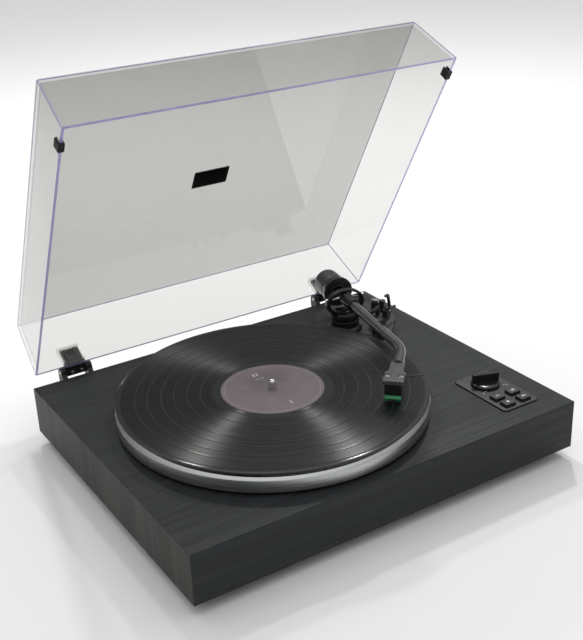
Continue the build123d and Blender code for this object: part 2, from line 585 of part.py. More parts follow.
with BuildPart() as ground_terminal:
    with BuildSketch(back(-6.0, 0, REAR_Z)):
        with Locations((-GROUND_X, 0)):
            Circle(2.0)
    extrude(amount=6.0 + REAR_T + 9.0)
    with BuildSketch(back(REAR_T + 1.2, 0, REAR_Z)):
        with Locations((-GROUND_X, 0)):
            Circle(4.6)
            with PolarLocations(4.6, 18):
                Circle(0.35, mode=Mode.SUBTRACT)
    extrude(amount=5.4)
    with BuildSketch(back(REAR_T, 0, REAR_Z)):
        with Locations((-GROUND_X, 0)):
            Circle(4.0)
    extrude(amount=1.2)
write(ground_terminal, "ground_terminal")

with BuildPart() as power_socket:
    with BuildSketch(back(0, 0, REAR_Z)):
        with Locations((-POWER_X, 0)):
            Circle(5.0)
    extrude(amount=REAR_T + 1.0)
    with BuildSketch(back(0, 0, REAR_Z)):
        with Locations((-POWER_X, 0)):
            Rectangle(12.0, 11.0)
    extrude(amount=-(POWER_DEPTH + 2.0))
    with BuildSketch(back(REAR_T + 1.0, 0, REAR_Z)):
        with Locations((-POWER_X, 0)):
            Circle(POWER_BORE_R)
    extrude(amount=-POWER_DEPTH, mode=Mode.SUBTRACT)
write(power_socket, "power_socket")

with BuildPart() as select_slider:
    with BuildSketch(back(-GUIDE_DEPTH + PART_GAP, 0, REAR_Z)):
        with Locations((-SELECT_X + SELECT_TRAVEL / 2, 0)):
            Rectangle(SLIDER_L, SLOT_H - 2 * PART_GAP)
    extrude(amount=GUIDE_DEPTH - PART_GAP + REAR_T + 1.4)
write(select_slider, "select_slider")

# ---- tonearm ------------------------------------------------------------------------------------------------
heading = math.radians(ARM_TURN)
head_heading = math.radians(ARM_TURN - BEND_ANGLE)
ARM = Plane(
    origin=(ARM_X, PLINTH_Y + ARM_Y, DECK_Z + ARM_H),
    x_dir=(math.cos(heading), math.sin(heading), 0),
    z_dir=(0, 0, 1),
)


def across(s):
    """Plane across the straight tube at a distance in front of the pivot, facing forwards."""
    return Plane(origin=ARM.from_local_coords((s, 0, 0)), x_dir=ARM.y_dir, z_dir=ARM.x_dir)


def along_arm(points):
    """A round piece about the arm's axis, from its (distance in front of the pivot, radius) outline."""
    with BuildPart() as piece:
        with BuildSketch(Plane(origin=ARM.origin, x_dir=ARM.x_dir, z_dir=ARM.y_dir * -1)):
            with BuildLine():
                Polyline(*points, close=True)
            make_face()
        revolve(axis=Axis(ARM.origin, ARM.x_dir))
    return piece


rest_heading = math.radians(ARM_TURN + PARK_TURN)
REST_X = ARM_X + REST_REACH * math.cos(rest_heading)
REST_Y = ARM_Y + REST_REACH * math.sin(rest_heading)
with BuildPart() as tonearm_base:
    with BuildSketch(deck()):
        with Locations((BASE_X, BASE_Y)):
            Circle(BASE_R)
        with Locations((REST_X, REST_Y)):
            Circle(9.0)
        with Locations((LIFTER_X + 6.0, LIFTER_Y - 2.0)):
            Circle(10.0)
        make_hull()
    extrude(amount=BASE_T)
    fillet(tonearm_base.faces().sort_by(Axis.Z)[-1].edges(), 0.9)
    with BuildSketch(deck()):
        with Locations((ARM_X, ARM_Y)):
            Circle(ARM_HOLE_R)
    extrude(amount=BASE_T, mode=Mode.SUBTRACT)
write(tonearm_base, "tonearm_base")

SWIVEL_R, SWIVEL_SHAFT_BOTTOM = 4.0, -8.0
pivot_tower = turned(
    ARM_X,
    ARM_Y,
    [
        (SWIVEL_R + RUN_GAP, BASE_T),
        (TOWER_FOOT_R, BASE_T),
        (TOWER_FOOT_R, BASE_T + 2.4),
        (TOWER_FOOT_R - 1.2, BASE_T + TOWER_FOOT_H - 1.0),
        (TOWER_R, BASE_T + TOWER_FOOT_H),
        (TOWER_R, TOWER_TOP - 4.2),
        (TOWER_R - 1.2, TOWER_TOP - 3.8),
        (TOWER_R - 1.2, TOWER_TOP - 2.6),
        (TOWER_R, TOWER_TOP - 2.2),
        (TOWER_R, TOWER_TOP - 0.4),
        (TOWER_R - 0.4, TOWER_TOP),
        (SWIVEL_R + RUN_GAP, TOWER_TOP),
    ],
)
write(pivot_tower, "pivot_tower")

SWIVEL_BOTTOM = TOWER_TOP + PART_GAP - ARM_H  # from the arm's axis
PIVOT_SCREW_R, PIVOT_DEPTH = 1.6, 1.7
with BuildPart() as gimbal_ring:
    with BuildSketch(across(-RING_W / 2)):
        with Locations((0, -RING_DROP)):
            Ellipse(RING_R, RING_HALF_H)
        with Locations((0, -BORE_DROP)):
            Ellipse(RING_BORE, BORE_HALF_H, mode=Mode.SUBTRACT)
    extrude(amount=RING_W)
    fillet(gimbal_ring.edges(), 0.7)
    with BuildSketch(deck(ARM_H + SWIVEL_BOTTOM, ARM_X, ARM_Y)):
        Circle(TOWER_R - 1.0)
    extrude(amount=-BORE_DROP - BORE_HALF_H - 1.5 - SWIVEL_BOTTOM)
    with BuildSketch(deck(SWIVEL_SHAFT_BOTTOM, ARM_X, ARM_Y)):
        Circle(SWIVEL_R)
    extrude(amount=ARM_H + SWIVEL_BOTTOM + 1.0 - SWIVEL_SHAFT_BOTTOM)
    with BuildSketch(Plane(origin=ARM.from_local_coords((0, -RING_R - 1, 0)), x_dir=ARM.x_dir, z_dir=ARM.y_dir)):
        Circle(PIVOT_SCREW_R + SEAT_GAP)
    extrude(amount=2 * RING_R + 2, mode=Mode.SUBTRACT)
write(gimbal_ring, "gimbal_ring")

with BuildPart() as pivot_screws:
    for side in (-1, 1):
        start = ARM.from_local_coords((0, side * (BARREL_R - PIVOT_DEPTH + PART_GAP), 0))
        with BuildSketch(Plane(origin=start, x_dir=ARM.x_dir, z_dir=ARM.y_dir * side)):
            Circle(PIVOT_SCREW_R)
        extrude(amount=RING_R - BARREL_R + PIVOT_DEPTH - PART_GAP)
write(pivot_screws, "pivot_screws")

with BuildPart() as pivot_barrel:
    with BuildSketch(across(-BARREL_BACK)):
        Circle(BARREL_R)
    extrude(amount=BARREL_BACK + BARREL_FRONT)
    fillet(pivot_barrel.edges().filter_by(GeomType.CIRCLE), 1.0)
    with BuildSketch(across(BARREL_FRONT)):
        Circle(TUBE_R + SEAT_GAP)
    extrude(amount=TUBE_START - BARREL_FRONT, mode=Mode.SUBTRACT)
    with BuildSketch(across(-STUB_END)):
        Circle(STUB_R)
    extrude(amount=STUB_END - BARREL_BACK + 1.0)
    for side in (-1, 1):
        start = ARM.from_local_coords((0, side * (BARREL_R - PIVOT_DEPTH), 0))
        with BuildSketch(Plane(origin=start, x_dir=ARM.x_dir, z_dir=ARM.y_dir * side)):
            Circle(PIVOT_SCREW_R + RUN_GAP)
        extrude(amount=PIVOT_DEPTH + 1, mode=Mode.SUBTRACT)
write(pivot_barrel, "pivot_barrel")

COLLAR_DEPTH = 6.0  # how far the tube goes into the headshell's collar
bend = math.radians(BEND_ANGLE)
bend_end = (TUBE_STRAIGHT + BEND_R * math.sin(bend), -BEND_R * (1 - math.cos(bend)))
tube_mouth = (bend_end[0] + TUBE_END * math.cos(bend), bend_end[1] - TUBE_END * math.sin(bend))
tube_end = (
    bend_end[0] + (TUBE_END + COLLAR_DEPTH) * math.cos(bend),
    bend_end[1] - (TUBE_END + COLLAR_DEPTH) * math.sin(bend),
)
with BuildPart() as arm_tube:
    with BuildLine(ARM) as tube_path:
        straight = Line((TUBE_START, 0), (TUBE_STRAIGHT, 0))
        JernArc(straight @ 1, straight % 1, BEND_R, -BEND_ANGLE)
        Line(bend_end, tube_end)
    with BuildSketch(across(TUBE_START)):
        Circle(TUBE_R)
        Circle(TUBE_R - TUBE_WALL, mode=Mode.SUBTRACT)
    sweep(path=tube_path.line)
write(arm_tube, "arm_tube")

CARRIAGE_BACK = -WEIGHT_FRONT - 3.0 - CARRIAGE_L
weight_carriage = along_arm(
    [
        (CARRIAGE_BACK, STUB_R + RUN_GAP),
        (CARRIAGE_BACK, CARRIAGE_R),
        (CARRIAGE_BACK + CARRIAGE_L, CARRIAGE_R),
        (CARRIAGE_BACK + CARRIAGE_L, STUB_R + RUN_GAP),
    ]
)
write(weight_carriage, "weight_carriage")

HUB_R, WEIGHT_BACK = 9.0, -WEIGHT_FRONT - WEIGHT_L
with BuildPart() as counterweight:
    with BuildSketch(Plane(origin=ARM.origin, x_dir=ARM.x_dir, z_dir=ARM.y_dir * -1)):
        with BuildLine():
            Line((-DIAL_FRONT - 0.6, CARRIAGE_R + RUN_GAP), (-DIAL_FRONT - 0.6, HUB_R))
            Line((-DIAL_FRONT - 0.6, HUB_R), (-WEIGHT_FRONT, HUB_R))
            Line((-WEIGHT_FRONT, HUB_R), (-WEIGHT_FRONT, WEIGHT_R))
            Line((-WEIGHT_FRONT, WEIGHT_R), (WEIGHT_BACK + 7.0, WEIGHT_R))
            ThreePointArc(
                (WEIGHT_BACK + 7.0, WEIGHT_R), (WEIGHT_BACK + 1.9, WEIGHT_R - 1.6), (WEIGHT_BACK, WEIGHT_BACK_R)
            )
            Line((WEIGHT_BACK, WEIGHT_BACK_R), (WEIGHT_BACK, 0))
            Line((WEIGHT_BACK, 0), (CARRIAGE_BACK - PART_GAP, 0))
            Line((CARRIAGE_BACK - PART_GAP, 0), (CARRIAGE_BACK - PART_GAP, CARRIAGE_R + RUN_GAP))
            Line((CARRIAGE_BACK - PART_GAP, CARRIAGE_R + RUN_GAP), (-DIAL_FRONT - 0.6, CARRIAGE_R + RUN_GAP))
        make_face()
    revolve(axis=Axis(ARM.origin, ARM.x_dir))
write(counterweight, "counterweight")

force_dial = along_arm(
    [
        (-WEIGHT_FRONT + PART_GAP, HUB_R + RUN_GAP),
        (-WEIGHT_FRONT + PART_GAP, DIAL_R - 0.5),
        (-DIAL_FRONT - 2.6, DIAL_R - 0.5),
        (-DIAL_FRONT - 2.2, DIAL_R + 0.5),
        (-DIAL_FRONT - 0.5, DIAL_R + 0.5),
        (-DIAL_FRONT, DIAL_R),
        (-DIAL_FRONT, HUB_R + RUN_GAP),
    ]
)
write(force_dial, "force_dial")

# headshell, cartridge and stylus, in a plane at the tube's mouth
HEAD = Plane(
    origin=ARM.from_local_coords((tube_mouth[0], tube_mouth[1], 0)),
    x_dir=(math.cos(head_heading), math.sin(head_heading), 0),
    z_dir=(0, 0, 1),
)
HEAD_SIDE = Plane(origin=HEAD.origin, x_dir=HEAD.x_dir, z_dir=HEAD.y_dir * -1)
NECK_END = COLLAR_L + NECK_L
SHELL_END = NECK_END + SHELL_L
SCREW_S = SHELL_END - SCREW_BACK
PLATE_BOTTOM = SHELL_TOP - SHELL_T


def head(height=0.0):
    """Level plane over the headshell at a height from the arm's axis."""
    return HEAD.offset(height)


def head_across(s):
    """Plane across the headshell at a distance from the tube's mouth, facing forwards."""
    return Plane(origin=HEAD.from_local_coords((s, 0, 0)), x_dir=HEAD.y_dir, z_dir=HEAD.x_dir)


with BuildPart() as headshell:
    with BuildSketch(head(PLATE_BOTTOM)):
        with BuildLine():
            Polyline(
                (COLLAR_L - 3.0, -NECK_W / 2),
                (NECK_END - 2.0, -NECK_W / 2),
                (NECK_END + 1.0, -SHELL_W / 2),
                (SHELL_END, -SHELL_W / 2),
                (SHELL_END, SHELL_W / 2),
                (NECK_END + 1.0, SHELL_W / 2),
                (NECK_END - 2.0, NECK_W / 2),
                (COLLAR_L - 3.0, NECK_W / 2),
                close=True,
            )
        make_face()
        fillet(vertices(), 0.8)
    extrude(amount=SHELL_T)
    fillet(headshell.faces().sort_by(Axis.Z)[-1].edges(), 0.6)
    with BuildSketch(head_across(-3.0)):
        Circle(TUBE_R + 1.0)
    extrude(amount=COLLAR_L + 1.0)
    fillet(headshell.edges().filter_by(GeomType.CIRCLE).sort_by(Axis(HEAD.origin, HEAD.x_dir))[0], 0.6)
    with BuildSketch(head_across(-4.0)):
        Circle(TUBE_R + SEAT_GAP)
    extrude(amount=4.0 + COLLAR_DEPTH, mode=Mode.SUBTRACT)
    with BuildSketch(head(SHELL_TOP)):
        with Locations((SCREW_S, -SCREW_PITCH / 2), (SCREW_S, SCREW_PITCH / 2)):
            Circle(3.1)
    extrude(amount=-1.8, mode=Mode.SUBTRACT)
    with BuildSketch(head(PLATE_BOTTOM)):
        with Locations((SCREW_S, -SCREW_PITCH / 2), (SCREW_S, SCREW_PITCH / 2)):
            Circle(1.3)
    extrude(amount=SHELL_T, mode=Mode.SUBTRACT)
write(headshell, "headshell")

with BuildPart() as headshell_screws:
    with BuildSketch(head(SHELL_TOP - 1.8)):
        with Locations((SCREW_S, -SCREW_PITCH / 2), (SCREW_S, SCREW_PITCH / 2)):
            Circle(2.6)
    extrude(amount=1.5)
    fillet(headshell_screws.faces().group_by(Axis.Z)[-1].edges(), 0.5)
    with BuildSketch(head(SHELL_TOP - 1.8)):
        with Locations((SCREW_S, -SCREW_PITCH / 2), (SCREW_S, SCREW_PITCH / 2)):
            Circle(1.25)
    extrude(amount=-(SHELL_T - 1.8) - 3.0)
    with BuildSketch(head(SHELL_TOP - 0.3)):
        with Locations((SCREW_S, -SCREW_PITCH / 2), (SCREW_S, SCREW_PITCH / 2)):
            Rectangle(6.0, 0.7)
    extrude(amount=-0.7, mode=Mode.SUBTRACT)
write(headshell_screws, "headshell_screws")

LIFT_ROD_R = 0.8
with BuildPart() as finger_lift:
    with BuildLine() as lift_path:
        ThreePointArc(
            HEAD.from_local_coords((35.5, SHELL_W / 2 + 0.3, 2.0)),
            HEAD.from_local_coords((34.0, 19.0, 4.6)),
            HEAD.from_local_coords((30.5, 27.0, 3.4)),
        )
    with BuildSketch(Plane(origin=lift_path.line @ 0, z_dir=lift_path.line % 0)):
        Circle(LIFT_ROD_R)
    sweep(path=lift_path.line)
write(finger_lift, "finger_lift")

CARTRIDGE_FRONT = SHELL_END - 0.3
CARTRIDGE_BACK = CARTRIDGE_FRONT - CARTRIDGE_L
with BuildPart() as cartridge_body:
    with BuildSketch(HEAD_SIDE.offset(-CARTRIDGE_W / 2)):
        with BuildLine():
            Polyline(
                (CARTRIDGE_BACK, PLATE_BOTTOM),
                (CARTRIDGE_FRONT, PLATE_BOTTOM),
                (CARTRIDGE_FRONT, PLATE_BOTTOM - CARTRIDGE_H + 1.5),
                (CARTRIDGE_FRONT - 1.5, PLATE_BOTTOM - CARTRIDGE_H),
                (CARTRIDGE_BACK + 3.5, PLATE_BOTTOM - CARTRIDGE_H),
                (CARTRIDGE_BACK, PLATE_BOTTOM - CARTRIDGE_H + 3.5),
                close=True,
            )
        make_face()
    extrude(amount=CARTRIDGE_W)
    fillet(cartridge_body.edges().filter_by(Axis.Z), 0.8)
    with BuildSketch(head(PLATE_BOTTOM)):
        with Locations((SCREW_S, -SCREW_PITCH / 2), (SCREW_S, SCREW_PITCH / 2)):
            Circle(1.3)
    extrude(amount=-3.4, mode=Mode.SUBTRACT)
write(cartridge_body, "cartridge_body")

STYLUS_TOP = PLATE_BOTTOM - CARTRIDGE_H
TIP_S, TIP_H = SHELL_END + 2.6, GROOVE_TOP + STYLUS_LIFT - ARM_H
with BuildPart() as stylus_assembly:
    with BuildSketch(HEAD_SIDE.offset(-CARTRIDGE_W / 2 + 0.6)):
        with BuildLine():
            Polyline(
                (CARTRIDGE_BACK + 4.0, STYLUS_TOP),
                (CARTRIDGE_FRONT - 0.6, STYLUS_TOP),
                (CARTRIDGE_FRONT + 1.6, STYLUS_TOP - 2.4),
                (CARTRIDGE_FRONT + 0.6, STYLUS_TOP - STYLUS_H),
                (CARTRIDGE_FRONT - 4.5, STYLUS_TOP - STYLUS_H),
                (CARTRIDGE_BACK + 5.5, STYLUS_TOP - 3.0),
                close=True,
            )
        make_face()
    extrude(amount=CARTRIDGE_W - 1.2)
    with BuildSketch(head_across(CARTRIDGE_FRONT - 5.0)):
        with Locations((0, STYLUS_TOP - STYLUS_H - 0.5)):
            Rectangle(7.0, 2 * STYLUS_H - 5.0)
    extrude(amount=8.0, mode=Mode.SUBTRACT)
write(stylus_assembly, "stylus_assembly")

root_point = HEAD.from_local_coords((CARTRIDGE_FRONT - 5.0, 0, STYLUS_TOP - STYLUS_H + 1.9))
tip_point = HEAD.from_local_coords((TIP_S, 0, TIP_H + 0.7))
with BuildPart() as cantilever:
    with BuildLine():
        Line(root_point, tip_point)
    with BuildSketch(Plane(origin=root_point, z_dir=tip_point - root_point)):
        Circle(0.35)
    sweep()
    with BuildSketch(head(TIP_H + 0.8)):
        with Locations((TIP_S - 0.3, 0)):
            Circle(0.35)
    extrude(amount=-0.8, taper=20)
write(cantilever, "cantilever")

# ---- arm lifter, rest and anti-skate ------------------------------------------------------------------------
BAR_TOP = ARM_H - TUBE_R - LIFT_GAP
BAR_T, LIFT_STEM_R, LIFTER_TOP, STEM_LOW = 2.4, 2.5, 25.0, 10.0

with BuildPart() as lift_bar:
    with BuildSketch(deck(BAR_TOP, ARM_X, ARM_Y)):
        with BuildLine():
            CenterArc((0, 0), LIFT_RADIUS, LIFT_FROM, LIFT_TO - LIFT_FROM)
            offset(amount=LIFT_BAR_W / 2)
        make_face()
    extrude(amount=-BAR_T)
    with BuildSketch(deck(BAR_TOP - BAR_T, LIFTER_X, LIFTER_Y)):
        Circle(LIFT_STEM_R)
    extrude(amount=STEM_LOW - BAR_TOP + BAR_T)
write(lift_bar, "lift_bar")

LEVER_PIVOT = LIFTER_R + 3.6  # from the lifter's middle, along the lever
FORK_W, HUB_W, LEVER_HUB_R, LEVER_PIN_R, LEVER_ROD_R, LEVER_GRIP_R = 7.0, 3.4, 2.3, 0.9, 1.2, 2.1
lever_heading = math.radians(LEVER_TURN)
LEVER = Plane(
    origin=(
        LIFTER_X + LEVER_PIVOT * math.cos(lever_heading),
        PLINTH_Y + LIFTER_Y + LEVER_PIVOT * math.sin(lever_heading),
        DECK_Z + LEVER_H,
    ),
    x_dir=(math.cos(lever_heading), math.sin(lever_heading), 0),
    z_dir=(0, 0, 1),
)
LEVER_SIDE = Plane(origin=LEVER.origin, x_dir=LEVER.x_dir, z_dir=LEVER.y_dir * -1)

with BuildPart() as lifter_housing:
    with BuildSketch(deck(BASE_T, LIFTER_X, LIFTER_Y)):
        Circle(LIFTER_R)
    extrude(amount=LIFTER_TOP - BASE_T)
    fillet(lifter_housing.faces().sort_by(Axis.Z)[-1].edges(), 0.8)
    with BuildSketch(LEVER_SIDE.offset(-FORK_W / 2)):
        with Locations((-LEVER_PIVOT / 2, 0)):
            Rectangle(LEVER_PIVOT, 2 * LEVER_HUB_R)
        Circle(LEVER_HUB_R)
    extrude(amount=FORK_W)
    with BuildSketch(LEVER_SIDE.offset(-HUB_W / 2 - PART_GAP)):
        with Locations((0.3, 0)):
            Rectangle(2 * LEVER_HUB_R + 2.0, 4 * LEVER_HUB_R)
    extrude(amount=HUB_W + 2 * PART_GAP, mode=Mode.SUBTRACT)
    with BuildSketch(deck(STEM_LOW - PART_GAP, LIFTER_X, LIFTER_Y)):
        Circle(LIFT_STEM_R + RUN_GAP)
    extrude(amount=LIFTER_TOP, mode=Mode.SUBTRACT)
    with BuildSketch(LEVER_SIDE.offset(-FORK_W / 2)):
        Circle(LEVER_PIN_R + SEAT_GAP)
    extrude(amount=FORK_W, mode=Mode.SUBTRACT)
write(lifter_housing, "lifter_housing")

with BuildPart() as cue_lever:
    with BuildSketch(LEVER_SIDE.offset(-HUB_W / 2)):
        Circle(LEVER_HUB_R)
    extrude(amount=HUB_W)
    with BuildSketch(Plane(origin=LEVER.origin, x_dir=LEVER.y_dir, z_dir=LEVER.x_dir)):
        Circle(LEVER_ROD_R)
    extrude(amount=LEVER_ROD_L)
    grip_start = LEVER.from_local_coords((LEVER_ROD_L - 6.0, 0, 0))
    with BuildSketch(Plane(origin=grip_start, x_dir=LEVER.y_dir, z_dir=LEVER.x_dir)):
        Circle(LEVER_GRIP_R)
    extrude(amount=LEVER_GRIP_L)
    fillet(cue_lever.edges().filter_by(GeomType.CIRCLE).sort_by(Axis(LEVER.origin, LEVER.x_dir))[-1], 0.8)
    with BuildSketch(LEVER_SIDE.offset(-HUB_W / 2)):
        Circle(LEVER_PIN_R + RUN_GAP)
    extrude(amount=HUB_W, mode=Mode.SUBTRACT)
write(cue_lever, "cue_lever")

SKATE_TOWER_X, SKATE_TOWER_Y, SKATE_TOWER_R, SKATE_DIAL_H = SKATE_X + 4.6, SKATE_Y - 7.4, 3.5, 3.4
with BuildPart() as anti_skate_post:
    with BuildSketch(deck(BASE_T)):
        with Locations((SKATE_X, SKATE_Y)):
            Circle(SKATE_POST_R + 2.0)
        with Locations((SKATE_TOWER_X, SKATE_TOWER_Y)):
            Circle(SKATE_TOWER_R + 0.8)
        make_hull()
    extrude(amount=6.0)
    with BuildSketch(deck(BASE_T, SKATE_X, SKATE_Y)):
        Circle(SKATE_POST_R)
    extrude(amount=SKATE_TOP - SKATE_DIAL_H - PART_GAP - BASE_T)
    with BuildSketch(deck(BASE_T, SKATE_TOWER_X, SKATE_TOWER_Y)):
        Circle(SKATE_TOWER_R)
    extrude(amount=SKATE_TOP - BASE_T)
    fillet(anti_skate_post.faces().sort_by(Axis.Z)[-1].edges(), 0.8)
    with BuildSketch(deck(SKATE_TOP - SKATE_DIAL_H - 6.0, SKATE_X, SKATE_Y)):
        Circle(1.5 + RUN_GAP)
    extrude(amount=10.0, mode=Mode.SUBTRACT)
write(anti_skate_post, "anti_skate_post")

with BuildPart() as anti_skate_dial:
    with BuildSketch(deck(SKATE_TOP - SKATE_DIAL_H, SKATE_X, SKATE_Y)):
        Circle(SKATE_R - 2.4)
    extrude(amount=SKATE_DIAL_H)
    fillet(anti_skate_dial.faces().sort_by(Axis.Z)[-1].edges(), 0.6)
    with BuildSketch(deck(SKATE_TOP - SKATE_DIAL_H, SKATE_X, SKATE_Y)):
        Circle(1.5)
    extrude(amount=-5.0)
write(anti_skate_dial, "anti_skate_dial")

REST = Plane(
    origin=(REST_X, PLINTH_Y + REST_Y, DECK_Z + ARM_H),
    x_dir=(math.cos(rest_heading), math.sin(rest_heading), 0),
    z_dir=(0, 0, 1),
)
REST_W, CRADLE_FLOOR, CRADLE_T, CRADLE_WALL_TOP = 8.0, -TUBE_R - PART_GAP, 3.0, 2.4
CLIP_Y, CLIP_Z, CLIP_PIN_R, CLIP_EAR_R = TUBE_R + PART_GAP + 4.2, 3.0, 0.9, 2.2


def rest_side(s):
    """Plane across the resting tube at a distance from the rest's middle; its x points off the record."""
    return Plane(origin=REST.from_local_coords((s, 0, 0)), x_dir=REST.y_dir, z_dir=REST.x_dir)


with BuildPart() as arm_rest:
    with BuildSketch(deck(BASE_T, REST_X, REST_Y)):
        Circle(4.0)
    extrude(amount=ARM_H + CRADLE_FLOOR - CRADLE_T - BASE_T)
    with BuildSketch(rest_side(-REST_W / 2)):
        with BuildLine():
            Polyline(
                (-TUBE_R, CRADLE_FLOOR - CRADLE_T),
                (-TUBE_R, CRADLE_FLOOR),
                (TUBE_R + PART_GAP, CRADLE_FLOOR),
                (TUBE_R + PART_GAP, CRADLE_WALL_TOP),
                (TUBE_R + PART_GAP + 1.6, CRADLE_WALL_TOP),
                (CLIP_Y, CLIP_Z + CLIP_EAR_R),
                (CLIP_Y + CLIP_EAR_R, CLIP_Z),
                (CLIP_Y + CLIP_EAR_R - 1.0, CLIP_Z - 4.0),
                (TUBE_R + PART_GAP + 2.4, CRADLE_FLOOR - CRADLE_T),
                close=True,
            )
        make_face()
    extrude(amount=REST_W)
    with BuildSketch(rest_side(-REST_W / 2 + 2.0)):
        with Locations((CLIP_Y, CLIP_Z)):
            Circle(CLIP_EAR_R + 2 * PART_GAP)
    extrude(amount=REST_W - 4.0, mode=Mode.SUBTRACT)
    with BuildSketch(rest_side(-REST_W / 2)):
        with Locations((CLIP_Y, CLIP_Z)):
            Circle(CLIP_PIN_R + SEAT_GAP)
    extrude(amount=REST_W, mode=Mode.SUBTRACT)
write(arm_rest, "arm_rest")

CLIP_OPEN, CLIP_T, CLIP_W = 80.0, 1.8, REST_W - 4.0 - 2 * PART_GAP
clip_open = math.radians(CLIP_OPEN)
clip_hinge = REST.from_local_coords((-CLIP_W / 2, CLIP_Y, CLIP_Z))
CLIP = Plane(
    origin=clip_hinge,
    x_dir=REST.y_dir * math.cos(clip_open) + REST.z_dir * -math.sin(clip_open),
    z_dir=REST.x_dir,
)
clip_over = TUBE_R + PART_GAP - CLIP_Z  # inner face of the closed clip, above its pin
with BuildPart() as rest_clip:
    with BuildSketch(CLIP):
        Circle(CLIP_EAR_R)
        with BuildLine():
            Polyline(
                (CLIP_EAR_R, 0),
                (CLIP_EAR_R - 0.6, clip_over + CLIP_T),
                (-CLIP_Y - TUBE_R - 2.4, clip_over + CLIP_T),
                (-CLIP_Y - TUBE_R - 2.4, clip_over - 3.2),
                (-CLIP_Y - TUBE_R - 0.6, clip_over - 3.2),
                (-CLIP_Y - TUBE_R - 0.6, clip_over),
                (-CLIP_EAR_R, clip_over),
                (-CLIP_EAR_R, 0),
                close=True,
            )
        make_face()
        Circle(CLIP_PIN_R + RUN_GAP, mode=Mode.SUBTRACT)
    extrude(amount=CLIP_W)
write(rest_clip, "rest_clip")

with BuildPart() as lever_pins:
    with BuildSketch(LEVER_SIDE.offset(-FORK_W / 2)):
        Circle(LEVER_PIN_R)
    extrude(amount=FORK_W)
    with BuildSketch(rest_side(-REST_W / 2)):
        with Locations((CLIP_Y, CLIP_Z)):
            Circle(CLIP_PIN_R)
    extrude(amount=REST_W)
write(lever_pins, "lever_pins")

# ---- dust cover and hinges ----------------------------------------------------------------------------------
LID = Plane(
    origin=(0, PLINTH_Y + HINGE_Y, DECK_Z + HINGE_H),
    x_dir=(1, 0, 0),
    z_dir=(0, math.sin(OPEN), math.cos(OPEN)),
)
COVER_MID = (RIM_BACK + RIM_FRONT) / 2
top_mid = COVER_MID + (COVER_DRAFT_FRONT - COVER_DRAFT_BACK) / 2


def cover_outline(height, inset):
    """Place, width and depth of the cover's outline at a height above its rim, inset by a wall."""
    share = height / COVER_H
    width = COVER_W - 2 * COVER_DRAFT_SIDE * share - 2 * inset
    depth = COVER_D - (COVER_DRAFT_FRONT + COVER_DRAFT_BACK) * share - 2 * inset
    return (0, COVER_MID + (top_mid - COVER_MID) * share), width, depth


HINGE_SIDES = (-HINGE_X, HINGE_X)
POCKET_CAVITY_W = TONGUE_W + 2 * PART_GAP
TONGUE_BACK = -EAR_R - 0.1
POCKET_CAVITY_BACK = TONGUE_BACK + PART_GAP
WALL_FACE = RIM_BACK + 0.1
POCKET_FRONT, POCKET_BACK = WALL_FACE - 1.5, POCKET_CAVITY_BACK + POCKET_WALL
with BuildPart() as dust_cover:
    for height in (0.0, COVER_H):
        place, width, depth = cover_outline(height, 0.0)
        with BuildSketch(LID.offset(RIM_Z + height)):
            with Locations(place):
                RectangleRounded(width, depth, 2.5)
    loft()
    for height in (0.0, COVER_H - COVER_WALL):
        place, width, depth = cover_outline(height, COVER_WALL)
        with BuildSketch(LID.offset(RIM_Z + height)):
            with Locations(place):
                RectangleRounded(width, depth, 1.0)
    loft(mode=Mode.SUBTRACT)
    with BuildSketch(LID.offset(RIM_Z + POCKET_BOTTOM)):
        with Locations(*[(x, (POCKET_FRONT + POCKET_BACK) / 2) for x in HINGE_SIDES]):
            Rectangle(POCKET_CAVITY_W + 2 * POCKET_WALL, POCKET_BACK - POCKET_FRONT)
    extrude(amount=POCKET_TOP - POCKET_BOTTOM)
    with BuildSketch(LID.offset(RIM_Z + POCKET_BOTTOM)):
        with Locations(*[(x, (WALL_FACE + POCKET_CAVITY_BACK) / 2) for x in HINGE_SIDES]):
            Rectangle(POCKET_CAVITY_W, POCKET_CAVITY_BACK - WALL_FACE)
    extrude(amount=POCKET_TOP - POCKET_WALL - POCKET_BOTTOM, mode=Mode.SUBTRACT)
write(dust_cover, "dust_cover")

BUMPER_X = COVER_W / 2 - COVER_WALL / 2 - 0.2
with BuildPart() as lid_bumpers:
    with BuildSketch(LID.offset(RIM_Z - COVER_GAP + PART_GAP)):
        with Locations((-BUMPER_X, RIM_FRONT + BUMPER_PLACE), (BUMPER_X, RIM_FRONT + BUMPER_PLACE)):
            RectangleRounded(COVER_WALL + 3.4, BUMPER_W, 1.2)
    extrude(amount=8.5)
    add(dust_cover.part, mode=Mode.SUBTRACT)
write(lid_bumpers, "lid_bumpers")

with BuildPart() as badge_plate:
    with BuildSketch(LID.offset(COVER_TOP)):
        with Locations((0, top_mid)):
            RectangleRounded(BADGE_W, BADGE_D, 1.0)
    extrude(amount=BADGE_T)
write(badge_plate, "badge_plate")


def hinge_side(x):
    """Plane across the closed cover's hinge at a place along the hinge line, with y towards the closed top."""
    return Plane(origin=LID.from_local_coords((x, 0, 0)), x_dir=LID.y_dir, z_dir=(1, 0, 0))


